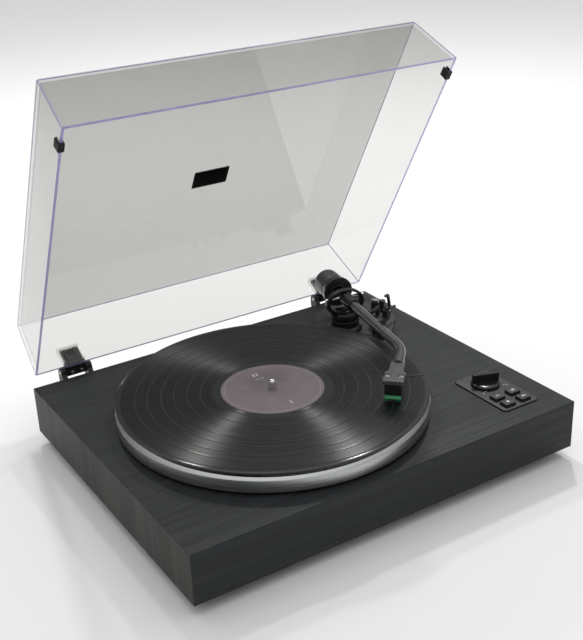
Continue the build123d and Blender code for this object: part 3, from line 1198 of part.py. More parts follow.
LEAF_W = HINGE_W - 2 * EAR_T - 2 * PART_GAP
FACET = EAR_R + 0.6  # screw face of the leaf's knuckle, from the pins
face_dir = math.radians(180 + OPEN_ANGLE)
with BuildPart() as hinge_leaves:
    for side in (-1, 1):
        with BuildSketch(hinge_side(side * HINGE_X - LEAF_W / 2)):
            Circle(EAR_R)
            with BuildLine():
                Polyline(
                    (TONGUE_BACK - TONGUE_T, -1.0),
                    (TONGUE_BACK - TONGUE_T, POCKET_BOTTOM + RIM_Z - 0.5),
                    (TONGUE_BACK, POCKET_BOTTOM + RIM_Z - 0.5),
                    (TONGUE_BACK, EAR_R - 0.6),
                    (-1.5, EAR_R - 0.4),
                    (0.0, -1.0),
                    close=True,
                )
            make_face()
            with Locations(Location((FACET / 2 * math.cos(face_dir), FACET / 2 * math.sin(face_dir)), OPEN_ANGLE)):
                Rectangle(FACET, 7.0)
        extrude(amount=LEAF_W)
        with BuildSketch(hinge_side(side * HINGE_X - TONGUE_W / 2)):
            with Locations((TONGUE_BACK - TONGUE_T / 2, (TONGUE_TOP + 2 * RIM_Z) / 2)):
                Rectangle(TONGUE_T, TONGUE_TOP)
        extrude(amount=TONGUE_W)
        for rib in (-1, 1):
            with BuildSketch(hinge_side(side * HINGE_X + rib * 5.0 - 1.0)):
                with Locations((TONGUE_BACK - TONGUE_T - 0.6, (TONGUE_TOP + RIM_Z + POCKET_BOTTOM) / 2)):
                    Rectangle(2.0, TONGUE_TOP - RIM_Z - POCKET_BOTTOM - 4.0)
            extrude(amount=2.0)
        with BuildSketch(hinge_side(side * HINGE_X - LEAF_W / 2)):
            Circle(PIN_R + RUN_GAP)
        extrude(amount=LEAF_W, mode=Mode.SUBTRACT)
write(hinge_leaves, "hinge_leaves")

SCREW_FACE = Plane(origin=LID.origin - (0, FACET, 0), x_dir=(1, 0, 0), z_dir=(0, -1, 0))
with BuildPart() as hinge_screws:
    with BuildSketch(SCREW_FACE):
        with Locations(*[(side * HINGE_X + place, 0) for side in (-1, 1) for place in (-5.0, 5.0)]):
            Circle(1.7)
    extrude(amount=0.9)
    fillet(hinge_screws.faces().group_by(Axis.Y)[0].edges(), 0.4)
write(hinge_screws, "hinge_screws")

BRACKET_T = HINGE_BACK - EAR_R - 2.0
BRACKET_LOW, BRACKET_HIGH = -40.0, -HINGE_H - 2.5
BRACKET_SCREW_H = -25.0
with BuildPart() as hinge_brackets:
    with BuildSketch(back(0, 0, (BRACKET_LOW + BRACKET_HIGH + 2 * HINGE_H) / 2)):
        with Locations((HINGE_X, 0), (-HINGE_X, 0)):
            Rectangle(HINGE_W, BRACKET_HIGH - BRACKET_LOW)
    extrude(amount=BRACKET_T)
    for side in (-1, 1):
        for ear in (-HINGE_W / 2, HINGE_W / 2 - EAR_T):
            ear_plane = Plane(
                origin=(side * HINGE_X + ear, PLINTH_Y + HINGE_Y, DECK_Z + HINGE_H), x_dir=(0, 1, 0), z_dir=(1, 0, 0)
            )
            with BuildSketch(ear_plane):
                Circle(EAR_R)
                with BuildLine():
                    Polyline(
                        (BRACKET_T - HINGE_BACK - 1.0, BRACKET_LOW + 8.0),
                        (BRACKET_T - HINGE_BACK - 1.0, BRACKET_HIGH),
                        (-EAR_R, -1.0),
                        (EAR_R, 0.0),
                        (EAR_R, -8.0),
                        (-2.0, BRACKET_LOW + 8.0),
                        close=True,
                    )
                make_face()
                Circle(PIN_R + SEAT_GAP, mode=Mode.SUBTRACT)
            extrude(amount=EAR_T)
write(hinge_brackets, "hinge_brackets")

with BuildPart() as hinge_pins:
    for side in (-1, 1):
        with BuildSketch(hinge_side(side * HINGE_X - HINGE_W / 2)):
            Circle(PIN_R)
        extrude(amount=HINGE_W)
write(hinge_pins, "hinge_pins")

# ---- screws that hold the inner pieces and the brackets -----------------------------------------------------
BRACKET_SCREWS = [
    (side * HINGE_X + x, BRACKET_SCREW_H + z) for side in (-1, 1) for x, z in ((-7, -6), (7, -6), (0, 10))
]
with BuildPart() as chassis_screws:
    with BuildSketch(deck(BOARD_BOTTOM)):
        with Locations((BOARD_X, BOARD_Y)):
            with GridLocations(BOARD_W - 10.0, BOARD_D - 10.0, 2, 2):
                Circle(BOARD_SCREW_R - SEAT_GAP)
    extrude(amount=BOARD_T)
    with BuildSketch(deck(BOARD_BOTTOM + BOARD_T)):
        with Locations((BOARD_X, BOARD_Y)):
            with GridLocations(BOARD_W - 10.0, BOARD_D - 10.0, 2, 2):
                Circle(2 * BOARD_SCREW_R)
    extrude(amount=1.4)
    with BuildSketch(deck(BEARING_FLANGE_T, PLATTER_X, PLATTER_Y)):
        with PolarLocations(16.0, 3):
            Circle(2.6)
    extrude(amount=1.4)
    with BuildSketch(deck(MOTOR_TOP - MOTOR_FLANGE_T, PULLEY_X, PULLEY_Y)):
        with PolarLocations(MOTOR_R + 3.2, 2):
            Circle(2.0)
    extrude(amount=-1.6)
    with BuildSketch(back(BRACKET_T)):
        with Locations(*BRACKET_SCREWS):
            Circle(2.6)
    extrude(amount=1.4)
write(chassis_screws, "chassis_screws")
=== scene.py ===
"""Looks of a belt-driven record player with a clear hinged cover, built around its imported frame.

Lengths are metres in the frame's own axes: +X runs along the front towards the controls, +Y to the hinges and
+Z up. Fields that end in _mm are millimetres.
"""

from __future__ import annotations

import json
import logging
import math
from dataclasses import dataclass, field
from enum import Enum

import bmesh
import bpy
import numpy as np
from mathutils import Matrix, Vector

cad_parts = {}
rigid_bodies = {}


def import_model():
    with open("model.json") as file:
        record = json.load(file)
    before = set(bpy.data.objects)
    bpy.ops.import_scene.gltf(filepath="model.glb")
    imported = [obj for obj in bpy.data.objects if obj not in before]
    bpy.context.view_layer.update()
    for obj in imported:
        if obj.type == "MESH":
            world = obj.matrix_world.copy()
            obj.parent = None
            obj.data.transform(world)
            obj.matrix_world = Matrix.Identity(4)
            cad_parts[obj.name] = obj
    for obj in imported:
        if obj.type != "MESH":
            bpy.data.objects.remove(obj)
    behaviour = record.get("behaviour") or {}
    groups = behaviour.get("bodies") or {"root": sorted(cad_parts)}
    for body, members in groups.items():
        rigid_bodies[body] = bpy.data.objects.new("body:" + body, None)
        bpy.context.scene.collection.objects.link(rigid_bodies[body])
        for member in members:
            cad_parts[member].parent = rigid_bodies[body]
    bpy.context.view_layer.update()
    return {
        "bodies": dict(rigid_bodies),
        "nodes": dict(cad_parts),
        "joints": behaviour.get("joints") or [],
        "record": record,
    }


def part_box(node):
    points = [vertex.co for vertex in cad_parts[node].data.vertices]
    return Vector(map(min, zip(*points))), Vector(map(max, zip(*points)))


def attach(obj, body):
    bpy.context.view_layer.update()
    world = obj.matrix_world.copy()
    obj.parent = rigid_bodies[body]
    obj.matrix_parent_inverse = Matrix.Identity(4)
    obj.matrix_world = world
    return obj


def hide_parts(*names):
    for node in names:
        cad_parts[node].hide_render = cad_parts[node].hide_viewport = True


log = logging.getLogger("record_player")
MM = 0.001
UV_NAME = "surface"
SHARP_DEGREES = 32.0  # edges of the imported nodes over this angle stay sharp
PRINT_SINK = 0.01 * MM  # how far printed marks reach into what carries them
Colour = tuple[float, float, float]
Socket = bpy.types.NodeSocket


# ---- places --------------------------------------------------------------------------------------
@dataclass(frozen=True)
class Place:
    """A right-handed set of axes at a point, which pieces are drawn in."""

    origin: np.ndarray
    x_dir: np.ndarray
    z_dir: np.ndarray

    @classmethod
    def at(cls, origin: object, x_dir: object = (1, 0, 0), z_dir: object = (0, 0, 1)) -> Place:
        """A place from any three-number sequences, with its directions made unit length."""
        x_axis, z_axis = np.array(x_dir, float), np.array(z_dir, float)
        return cls(np.array(origin, float), x_axis / np.linalg.norm(x_axis), z_axis / np.linalg.norm(z_axis))

    @property
    def y_dir(self) -> np.ndarray:
        """The third axis, z cross x."""
        return np.cross(self.z_dir, self.x_dir)

    @property
    def axes(self) -> np.ndarray:
        """The three unit directions, as rows."""
        return np.stack([self.x_dir, self.y_dir, self.z_dir])

    def world(self, local: np.ndarray) -> np.ndarray:
        """Points of the frame for local (..., 3) points: origin + x X + y Y + z Z."""
        return self.origin + local @ self.axes

    def local(self, world: np.ndarray) -> np.ndarray:
        """Local points for (..., 3) points of the frame."""
        return (world - self.origin) @ self.axes.T

    def matrix(self) -> Matrix:
        """The same as a 4x4 matrix."""
        m = np.eye(4)
        m[:3, 0], m[:3, 1], m[:3, 2], m[:3, 3] = self.x_dir, self.y_dir, self.z_dir, self.origin
        return Matrix(m.tolist())

    def moved(self, x: float, y: float, z: float) -> Place:
        """The same axes at a local point."""
        return Place(self.world(np.array([x, y, z])), self.x_dir, self.z_dir)


def box_of(node: str) -> tuple[np.ndarray, np.ndarray, np.ndarray]:
    """Lowest corner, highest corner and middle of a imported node, in metres."""
    low, high = (np.array(corner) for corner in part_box(node))
    return low, high, (low + high) / 2


# ---- surfaces ------------------------------------------------------------------------------------
@dataclass
class Surface:
    """Points on a grid, their faces, and the numbers that the finishes read from them."""

    points: np.ndarray
    faces: np.ndarray
    uv: np.ndarray
    values: dict[str, np.ndarray] = field(default_factory=dict)


def grid_surface(points: np.ndarray, wrap_rows: bool = False, wrap_columns: bool = True) -> Surface:
    """Joins a (rows, columns, 3) grid of points into quads.

    Point (i, j) has number i * columns + j. Each quad joins (i, j), (i + 1, j), (i + 1, j + 1), (i, j + 1),
    counted round again where the grid is closed, and its UV is (j / columns, i / rows).

    Args:
        points: the grid.
        wrap_rows: joins the last row to the first.
        wrap_columns: joins the last column to the first.

    Returns:
        The joined surface.
    """
    rows, columns = points.shape[:2]
    steps_i = np.arange(rows if wrap_rows else rows - 1)
    steps_j = np.arange(columns if wrap_columns else columns - 1)
    i, j = np.meshgrid(steps_i, steps_j, indexing="ij")
    corners_i, corners_j = np.stack([i, i + 1, i + 1, i], -1), np.stack([j, j, j + 1, j + 1], -1)
    faces = (corners_i % rows) * columns + corners_j % columns
    uv = np.stack([corners_j / columns, corners_i / rows], -1)
    return Surface(points.reshape(-1, 3), faces.reshape(-1, 4), uv.reshape(-1, 2))


def joined(surfaces: list[Surface]) -> Surface:
    """Several surfaces as one, each one's face numbers moved up by the points before it."""
    starts = np.cumsum([0] + [len(s.points) for s in surfaces[:-1]])
    names = set().union(*(s.values for s in surfaces))
    return Surface(
        np.concatenate([s.points for s in surfaces]),
        np.concatenate([s.faces + start for s, start in zip(surfaces, starts)]),
        np.concatenate([s.uv for s in surfaces]),
        {n: np.concatenate([s.values.get(n, np.zeros(len(s.points))) for s in surfaces]) for n in names},
    )


def rounded(
    outline: np.ndarray, radius: float | np.ndarray, steps: int = 5, closed: bool = True
) -> np.ndarray:
    """Eases the corners of an outline.

    Each corner P gives way to the parabola (1 - t)^2 A + 2 t (1 - t) P + t^2 B, where A and B lie a radius
    along its two sides, at most 0.45 of each side.

    Args:
        outline: (n, 2) corner points.
        radius: one radius, or one for each corner.
        steps: points for each corner, less one.
        closed: whether the last corner joins the first.

    Returns:
        The eased outline.
    """
    before, after = np.roll(outline, 1, 0) - outline, np.roll(outline, -1, 0) - outline
    size_before, size_after = np.linalg.norm(before, axis=1), np.linalg.norm(after, axis=1)
    reach = np.broadcast_to(np.asarray(radius, float), (len(outline),)).copy()
    if not closed:
        reach[[0, -1]] = 0.0
    first = outline + before / size_before[:, None] * np.minimum(reach, 0.45 * size_before)[:, None]
    last = outline + after / size_after[:, None] * np.minimum(reach, 0.45 * size_after)[:, None]
    t = np.linspace(0, 1, steps + 1)[None, :, None]
    curve = (1 - t) ** 2 * first[:, None] + 2 * t * (1 - t) * outline[:, None] + t**2 * last[:, None]
    return curve.reshape(-1, 2)


def lathe(place: Place, outline: np.ndarray, segments: int = 128, wave: np.ndarray | None = None) -> Surface:
    """Turns a closed (radius, height) outline about the place's Z.

    Point (i, j) is (r_i cos a_j, r_i sin a_j, h_i), with a_j = 2 pi j / segments.

    Args:
        place: its Z is the axis.
        outline: (n, 2) radii and heights.
        segments: steps round the axis.
        wave: optional (n, segments) lengths added to the radii, for ribs and knurling.

    Returns:
        The closed surface.
    """
    angle = np.arange(segments) * 2 * math.pi / segments
    radius = np.repeat(outline[:, :1], segments, 1)
    if wave is not None:
        radius = radius + wave
    local = np.stack(
        [radius * np.cos(angle), radius * np.sin(angle), np.repeat(outline[:, 1:], segments, 1)], -1
    )
    return grid_surface(place.world(local), wrap_rows=True)


def carried(path: np.ndarray, up: tuple, radii: np.ndarray, flat: float, sides: int) -> Surface:
    """Carries a round or flattened section along a path.

    With T the path's direction and S = T cross up, point (i, j) is
    P_i + r_i (cos a_j S + flat sin a_j (S cross T)).

    Args:
        path: (n, 3) points of the middle line.
        up: a direction that the path never runs along.
        radii: (n,) section radii; 0 at an end closes it.
        flat: height of the section over its width.
        sides: steps round the section.

    Returns:
        The surface.
    """
    along = np.gradient(path, axis=0)
    along /= np.linalg.norm(along, axis=1)[:, None]
    side = np.cross(along, up)
    side /= np.linalg.norm(side, axis=1)[:, None]
    over = np.cross(side, along)
    angle = np.arange(sides) * 2 * math.pi / sides
    ring = np.cos(angle)[None, :, None] * side[:, None] + flat * np.sin(angle)[None, :, None] * over[:, None]
    return grid_surface(path[:, None] + radii[:, None, None] * ring)


def cushion_block(place: Place, size: tuple[float, float, float], power: float, edge: float) -> Surface:
    """A block with eased corners, standing on the place's origin.

    Its plan is the superellipse |x / a|^p + |y / b|^p = 1, and its section draws in by an eased edge at the
    top and the bottom.

    Args:
        place: middle of the block's foot.
        size: full X, Y and Z sizes.
        power: p, where 2 is an ellipse and more is squarer.
        edge: how far the top and bottom edges are eased.

    Returns:
        The closed surface.
    """
    sides = 96
    angle = np.arange(sides) * 2 * math.pi / sides
    c, s = np.cos(angle), np.sin(angle)
    plan = np.stack([np.sign(c) * np.abs(c) ** (2 / power), np.sign(s) * np.abs(s) ** (2 / power)], -1)
    half = np.array(size[:2]) / 2
    corners = np.array([[0.0, 0.0], [1.0, 0.0], [1.0, size[2]], [0.0, size[2]]]) * [half.min(), 1]
    section = rounded(corners, edge, closed=False)
    inset = section[:, 0] / half.min()
    scale = np.where(inset[:, None] > 0.5, 1 - (1 - inset[:, None]) * half.min() / half, inset[:, None])
    heights = np.repeat(section[:, 1:], sides, 1)[..., None]
    local = np.concatenate([plan[None] * (half * scale)[:, None], heights], -1)
    return grid_surface(place.world(local))


def box_outline(half_x: float, half_y: float) -> np.ndarray:
    """Corners of a rectangle about its middle."""
    return np.array([(-half_x, -half_y), (half_x, -half_y), (half_x, half_y), (-half_x, half_y)])


def plate_of(place: Place, outline: np.ndarray, thick: float) -> Surface:
    """A flat plate: a convex outline, drawn to its middle on both faces, at heights 0 and thick."""
    middle = np.broadcast_to(outline.mean(0), outline.shape)
    rings = np.stack([middle, outline, outline, middle])
    heights = np.array([0.0, 0.0, thick, thick])[:, None, None] * np.ones((1, len(outline), 1))
    return grid_surface(place.world(np.concatenate([rings, heights], -1)))


def linked(name: str, data: bpy.types.ID) -> bpy.types.Object:
    """A new object in the scene that shows a mesh, a curve, a lamp or a camera."""
    made = bpy.data.objects.new(name, data)
    bpy.context.scene.collection.objects.link(made)
    return made


def triples(items: bpy.types.bpy_prop_collection, name: str) -> np.ndarray:
    """A three-number property of every vertex or face, as (n, 3) numbers."""
    values = np.zeros(len(items) * 3, np.float32)
    items.foreach_get(name, values)
    return values.reshape(-1, 3)


def mark_faces(mesh: bpy.types.Mesh, name: str, chosen: np.ndarray) -> None:
    """Stores 1 on the chosen faces and 0 on the rest, under a name that a finish reads."""
    mesh.attributes.new(name, "FLOAT", "FACE").data.foreach_set("value", chosen.astype(np.float32))


def put(name: str, surface: Surface, sharp: float = 35.0) -> bpy.types.Object:
    """Puts a surface into a new object at the origin, with its doubles merged and its faces outwards.

    Args:
        name: the piece's name.
        surface: its points, faces, UV map and values.
        sharp: edges over this many degrees stay sharp.

    Returns:
        The object.
    """
    mesh = bpy.data.meshes.new(name)
    mesh.from_pydata(surface.points.tolist(), [], surface.faces.tolist())
    mesh.uv_layers.new(name=UV_NAME).data.foreach_set("uv", surface.uv.ravel().astype(np.float32))
    for key, value in surface.values.items():
        mesh.attributes.new(key, "FLOAT", "POINT").data.foreach_set("value", value.ravel().astype(np.float32))
    merge(mesh)
    return shown(name, mesh, sharp)


def merge(mesh: bpy.types.Mesh) -> None:
    """Merges a mesh's double points and turns its faces outwards."""
    work = bmesh.new()
    work.from_mesh(mesh)
    bmesh.ops.remove_doubles(work, verts=work.verts, dist=2e-7)
    bmesh.ops.dissolve_degenerate(work, edges=work.edges, dist=1e-8)
    bmesh.ops.recalc_face_normals(work, faces=work.faces)
    work.to_mesh(mesh)
    work.free()


def shown(name: str, mesh: bpy.types.Mesh, sharp: float) -> bpy.types.Object:
    """Shades a mesh smooth but for its sharp edges, and shows it as an object at the origin."""
    mesh.shade_smooth()
    mesh.set_sharp_from_angle(angle=math.radians(sharp))
    return linked(name, mesh)


def refined(node: str, bevel_mm: float) -> bpy.types.Object:
    """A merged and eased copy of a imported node, for the nodes whose shape is already right.

    Args:
        node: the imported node.
        bevel_mm: width that its sharp edges are eased by; 0 leaves them.

    Returns:
        The copy, not yet riding on anything.
    """
    mesh = bpy.data.objects[node].data.copy()
    mesh.materials.clear()
    for name in [a.name for a in mesh.attributes if a.name == "custom_normal"]:
        mesh.attributes.remove(mesh.attributes[name])
    merge(mesh)
    piece = shown(f"{node}_shape", mesh, SHARP_DEGREES)
    if bevel_mm:
        bevel = piece.modifiers.new("eased_edges", "BEVEL")
        bevel.width, bevel.segments = bevel_mm * MM, 2
        bevel.limit_method, bevel.angle_limit = "ANGLE", math.radians(SHARP_DEGREES)
        bevel.harden_normals = True
    return piece


def numerals(name: str, text: str, height: float, place: Place) -> bpy.types.Object:
    """Plain numbers as a thin mesh, centred on a place and read along its X.

    Args:
        name: the piece's name.
        text: the numbers.
        height: letter height.
        place: where their middle lies, with Z out of the surface.

    Returns:
        The object, at the origin.
    """
    size_for_height, thick = 1.35, 0.00004
    curve = bpy.data.curves.new(name, "FONT")
    curve.body, curve.size, curve.extrude = text, height * size_for_height, thick / 2
    curve.align_x, curve.align_y = "CENTER", "CENTER"
    holder = linked(f"{name}_curve", curve)
    bpy.context.view_layer.update()
    mesh = bpy.data.meshes.new_from_object(holder.evaluated_get(bpy.context.evaluated_depsgraph_get()))
    bpy.data.objects.remove(holder)
    mesh.transform(place.matrix())
    mesh.name = name
    return linked(name, mesh)


# ---- finishes ------------------------------------------------------------------------------------
class NodeGraph:
    """Short calls that add and join the shader nodes of a material or the world."""

    def __init__(self, owner: bpy.types.Material | bpy.types.World) -> None:
        """Starts with an empty node tree."""
        owner.use_nodes = True
        self.tree = owner.node_tree
        self.tree.nodes.clear()

    def add(self, kind: str, inputs: dict | None = None, **settings: object) -> bpy.types.Node:
        """Adds a node.

        Args:
            kind: its type, less ShaderNode.
            inputs: a value or a socket to join for each named or numbered input.
            settings: the node's own properties.

        Returns:
            The node.
        """
        node = self.tree.nodes.new("ShaderNode" + kind)
        for key, value in settings.items():
            setattr(node, key, value)
        for key, value in (inputs or {}).items():
            if isinstance(value, Socket):
                self.tree.links.new(value, node.inputs[key])
            else:
                node.inputs[key].default_value = value
        return node

    def coords(self, scale: tuple = (1, 1, 1), shift: tuple = (0, 0, 0)) -> Socket:
        """Object coordinates, moved and then stretched."""
        at = self.add("TexCoord").outputs["Object"]
        moved = self.add("VectorMath", {0: at, 1: shift}, operation="ADD").outputs[0]
        return self.add("VectorMath", {0: moved, 1: scale}, operation="MULTIPLY").outputs[0]

    def noise(self, at: Socket, scale: float = 1.0, detail: float = 2.0, warp: float = 0.0) -> Socket:
        """Noise from about 0.3 to 0.7."""
        inputs = {"Vector": at, "Scale": scale, "Detail": detail, "Distortion": warp}
        return self.add("TexNoise", inputs).outputs["Fac"]

    def spread(self, value: Socket, low: float = 0.3, high: float = 0.7, to: tuple = (0.0, 1.0)) -> Socket:
        """Carries low..high to the range to, held at its ends."""
        inputs = {"Value": value, "From Min": low, "From Max": high, "To Min": to[0], "To Max": to[1]}
        return self.add("MapRange", inputs).outputs[0]

    def shades(self, share: Socket, colour: Colour, low: float, high: float) -> Socket:
        """Runs between low and high times a colour."""
        return self.blend(share, tuple(low * c for c in colour), tuple(high * c for c in colour))

    def mix(self, share: Socket, a: object, b: object) -> Socket:
        """Mixes two numbers."""
        return self.add("Mix", {0: share, 2: a, 3: b}, data_type="FLOAT").outputs[0]

    def tangent(self) -> Socket:
        """The direction along the rows of the piece's own UV map."""
        return self.add("Tangent", direction_type="UV_MAP", uv_map=UV_NAME).outputs[0]

    def from_centre(self, centre: tuple[float, float]) -> Socket:
        """The distance from an upright line."""
        flat = self.coords((1, 1, 0), (-centre[0], -centre[1], 0))
        return self.add("VectorMath", {0: flat}, operation="LENGTH").outputs["Value"]

    def blend(self, share: object, a: object, b: object) -> Socket:
        """Mixes two colours."""
        mix = self.add("Mix", {0: share}, data_type="RGBA")
        for index, value in ((6, a), (7, b)):
            if isinstance(value, Socket):
                self.tree.links.new(value, mix.inputs[index])
            else:
                mix.inputs[index].default_value = (*value, 1.0)
        return mix.outputs[2]

    def maths(self, operation: str, a: object, b: object = 0.0) -> Socket:
        """One sum on two numbers."""
        return self.add("Math", {0: a, 1: b}, operation=operation).outputs[0]

    def attribute(self, name: str) -> Socket:
        """A number stored on the piece's points."""
        return self.add("Attribute", attribute_name=name).outputs["Fac"]

    def bump(self, height: Socket, depth_mm: float, strength: float) -> Socket:
        """A normal from a height map that is depth_mm deep."""
        inputs = {"Height": height, "Distance": depth_mm * MM, "Strength": strength}
        return self.add("Bump", inputs).outputs["Normal"]

    def surface(self, **inputs: object) -> bpy.types.Node:
        """Adds the main shader and joins it to the output; underscores in names stand for spaces."""
        shader = self.add("BsdfPrincipled")
        for key, value in inputs.items():
            socket = shader.inputs[key.replace("_", " ")]
            if isinstance(value, Socket):
                self.tree.links.new(value, socket)
            else:
                socket.default_value = value
        self.end(shader)
        return shader

    def end(self, shader: bpy.types.Node, kind: str = "OutputMaterial") -> None:
        """Joins a shader to the output."""
        output = self.add(kind)
        self.tree.links.new(shader.outputs[0], output.inputs["Surface"])


@dataclass(frozen=True)
class Finish:
    """A finish with a name; each kind draws its own nodes."""

    name: str

    def draw(self, nodes: NodeGraph) -> None:
        """Draws the finish's nodes."""
        raise NotImplementedError

    def material(self) -> bpy.types.Material:
        """The finish's material, made once."""
        name = f"{self.name}_finish"
        made = bpy.data.materials.get(name)
        if made is None:
            made = bpy.data.materials.new(name)
            self.draw(NodeGraph(made))
        return made


@dataclass(frozen=True)
class AshVeneer(Finish):
    """Black-stained open-grain ash: long pores along X, and upright ones where the piece says end_face."""

    tone: Colour = (0.0080, 0.0098, 0.0112)
    pale: Colour = (0.024, 0.028, 0.031)
    end_tone: Colour = (0.012, 0.012, 0.0115)
    end_pale: Colour = (0.070, 0.065, 0.056)

    def draw(self, nodes: NodeGraph) -> None:
        """Stretched noise gives the bands and pores; the pores are pressed in."""
        turn = nodes.attribute("end_face")
        vector = nodes.add("Mix", {0: turn}, data_type="VECTOR")
        nodes.tree.links.new(nodes.coords((7, 260, 260)), vector.inputs[4])
        nodes.tree.links.new(nodes.coords((260, 260, 9)), vector.inputs[5])
        run = vector.outputs[1]
        broad = nodes.spread(nodes.noise(run, 0.14, 4, 1.2), 0.36, 0.66)
        fine = nodes.spread(nodes.noise(run, 1.0, 3, 0.3), 0.38, 0.66)
        pores = nodes.spread(nodes.noise(run, 1.9, 2, 0.4), 0.50, 0.60)
        share = nodes.maths("MULTIPLY", nodes.maths("ADD", broad, fine), 0.5)
        plain = nodes.blend(share, self.tone, self.pale)
        ends = nodes.blend(share, self.end_tone, self.end_pale)
        wood = nodes.blend(turn, plain, ends)
        dark = nodes.blend(nodes.maths("MULTIPLY", pores, 0.45), wood, (0.008, 0.008, 0.009))
        nodes.surface(
            Base_Color=dark,
            Roughness=nodes.spread(fine, 0, 1, (0.50, 0.64)),
            Specular_IOR_Level=0.36,
            Normal=nodes.bump(nodes.maths("SUBTRACT", fine, pores), 0.10, 0.55),
        )


@dataclass(frozen=True)
class Moulded(Finish):
    """Moulded plastic or rubber with a fine spark-eroded grain."""

    colour: Colour = (0.014, 0.014, 0.015)
    roughness: float = 0.42
    grain_mm: float = 0.35
    depth_mm: float = 0.012
    specular: float = 0.5

    def draw(self, nodes: NodeGraph) -> None:
        """Small noise presses the grain, and slow noise varies the gloss and the tone."""
        at = nodes.coords()
        grain = nodes.noise(at, 1 / (self.grain_mm * MM), 2)
        slow = nodes.noise(at, 60, 3)
        nodes.surface(
            Base_Color=nodes.shades(nodes.spread(slow), self.colour, 1.0, 1.35),
            Roughness=nodes.spread(slow, to=(self.roughness - 0.04, self.roughness + 0.05)),
            Specular_IOR_Level=self.specular,
            Normal=nodes.bump(grain, self.depth_mm, 0.6),
        )


@dataclass(frozen=True)
class Lacquer(Finish):
    """Satin metallic lacquer: fine flakes in the colour under a thin clear coat."""

    colour: Colour = (0.100, 0.103, 0.108)
    roughness: float = 0.30
    metallic: float = 0.55

    def draw(self, nodes: NodeGraph) -> None:
        """Flakes are small noise in the colour and gloss."""
        at = nodes.coords()
        flake = nodes.spread(nodes.noise(at, 5200, 2), 0.35, 0.65)
        nodes.surface(
            Base_Color=nodes.shades(flake, self.colour, 0.8, 1.3),
            Metallic=self.metallic,
            Roughness=nodes.spread(flake, 0, 1, (self.roughness - 0.05, self.roughness + 0.06)),
            Coat_Weight=0.35,
            Coat_Roughness=0.15,
            Normal=nodes.bump(nodes.noise(at, 900, 2), 0.004, 0.5),
        )


@dataclass(frozen=True)
class TurnedMetal(Finish):
    """Metal finished on a lathe: fine rings up its height, and polished where the piece says polish."""

    colour: Colour = (0.56, 0.57, 0.58)
    roughness: float = 0.30
    polished: float = 0.07
    rings: float = 260.0
    anisotropy: float = 0.6

    def draw(self, nodes: NodeGraph) -> None:
        """Rings are noise along the height, blurred along the turning direction by the anisotropy."""
        polish = nodes.attribute("polish")
        at = nodes.coords((30, 30, self.rings * 20))
        ring = nodes.noise(at, 1.0, 3)
        dull = nodes.spread(ring, to=(self.roughness - 0.07, self.roughness + 0.09))
        rough = nodes.mix(polish, dull, self.polished)
        tangent = nodes.tangent()
        nodes.surface(
            Base_Color=nodes.shades(nodes.spread(ring), self.colour, 0.9, 1.0),
            Metallic=1.0,
            Roughness=rough,
            Anisotropic=self.anisotropy,
            Anisotropic_Rotation=0.25,
            Tangent=tangent,
            Normal=nodes.bump(ring, 0.004, 0.5),
        )


@dataclass(frozen=True)
class Plated(Finish):
    """Bright plated or polished metal with faint wipe marks."""

    colour: Colour = (0.72, 0.72, 0.73)
    roughness: float = 0.10

    def draw(self, nodes: NodeGraph) -> None:
        """Slow noise varies the gloss."""
        slow = nodes.noise(nodes.coords(), 160, 3, 0.6)
        nodes.surface(
            Base_Color=nodes.shades(nodes.spread(slow), self.colour, 0.88, 1.0),
            Metallic=1.0,
            Roughness=nodes.spread(slow, to=(self.roughness, self.roughness + 0.08)),
        )


@dataclass(frozen=True)
class PressedVinyl(Finish):
    """Black vinyl: cut grooves that spread light across them, and glossy bands where the piece says band,
    which are also painted lighter as a painted sheen.
    """

    centre: tuple[float, float] = (0.0, 0.0)

    def draw(self, nodes: NodeGraph) -> None:
        """The distance from the spindle drives the groove noise."""
        distance = nodes.from_centre(self.centre)
        coarse, fine = (
            nodes.add("TexNoise", {"W": distance, "Scale": scale, "Detail": detail}, noise_dimensions="1D")
            for scale, detail in ((420.0, 3.0), (2600.0, 2.0))
        )
        band = nodes.attribute("band")
        # Louder stretches of groove are rougher, and are also painted a touch lighter, a painted sheen.
        loud_and_sheen = nodes.spread(coarse.outputs["Fac"], 0.35, 0.65)
        rough = nodes.spread(loud_and_sheen, 0, 1, (0.26, 0.36))
        tangent = nodes.tangent()
        cut = nodes.maths("MULTIPLY", fine.outputs["Fac"], nodes.maths("SUBTRACT", 1.0, band))
        groove = nodes.blend(loud_and_sheen, (0.003, 0.0034, 0.0040), (0.007, 0.0078, 0.0088))
        nodes.surface(
            # Painted sheen: the bands are painted a lighter grey, standing in for the light that their smooth
            # land mirrors.
            Base_Color=nodes.blend(nodes.maths("MULTIPLY", band, 0.8), groove, (0.030, 0.032, 0.034)),
            Roughness=nodes.mix(band, rough, 0.16),
            IOR=1.55,
            Specular_IOR_Level=0.55,
            Anisotropic=0.96,
            Anisotropic_Rotation=0.25,
            Tangent=tangent,
            Normal=nodes.bump(cut, 0.02, 0.35),
        )


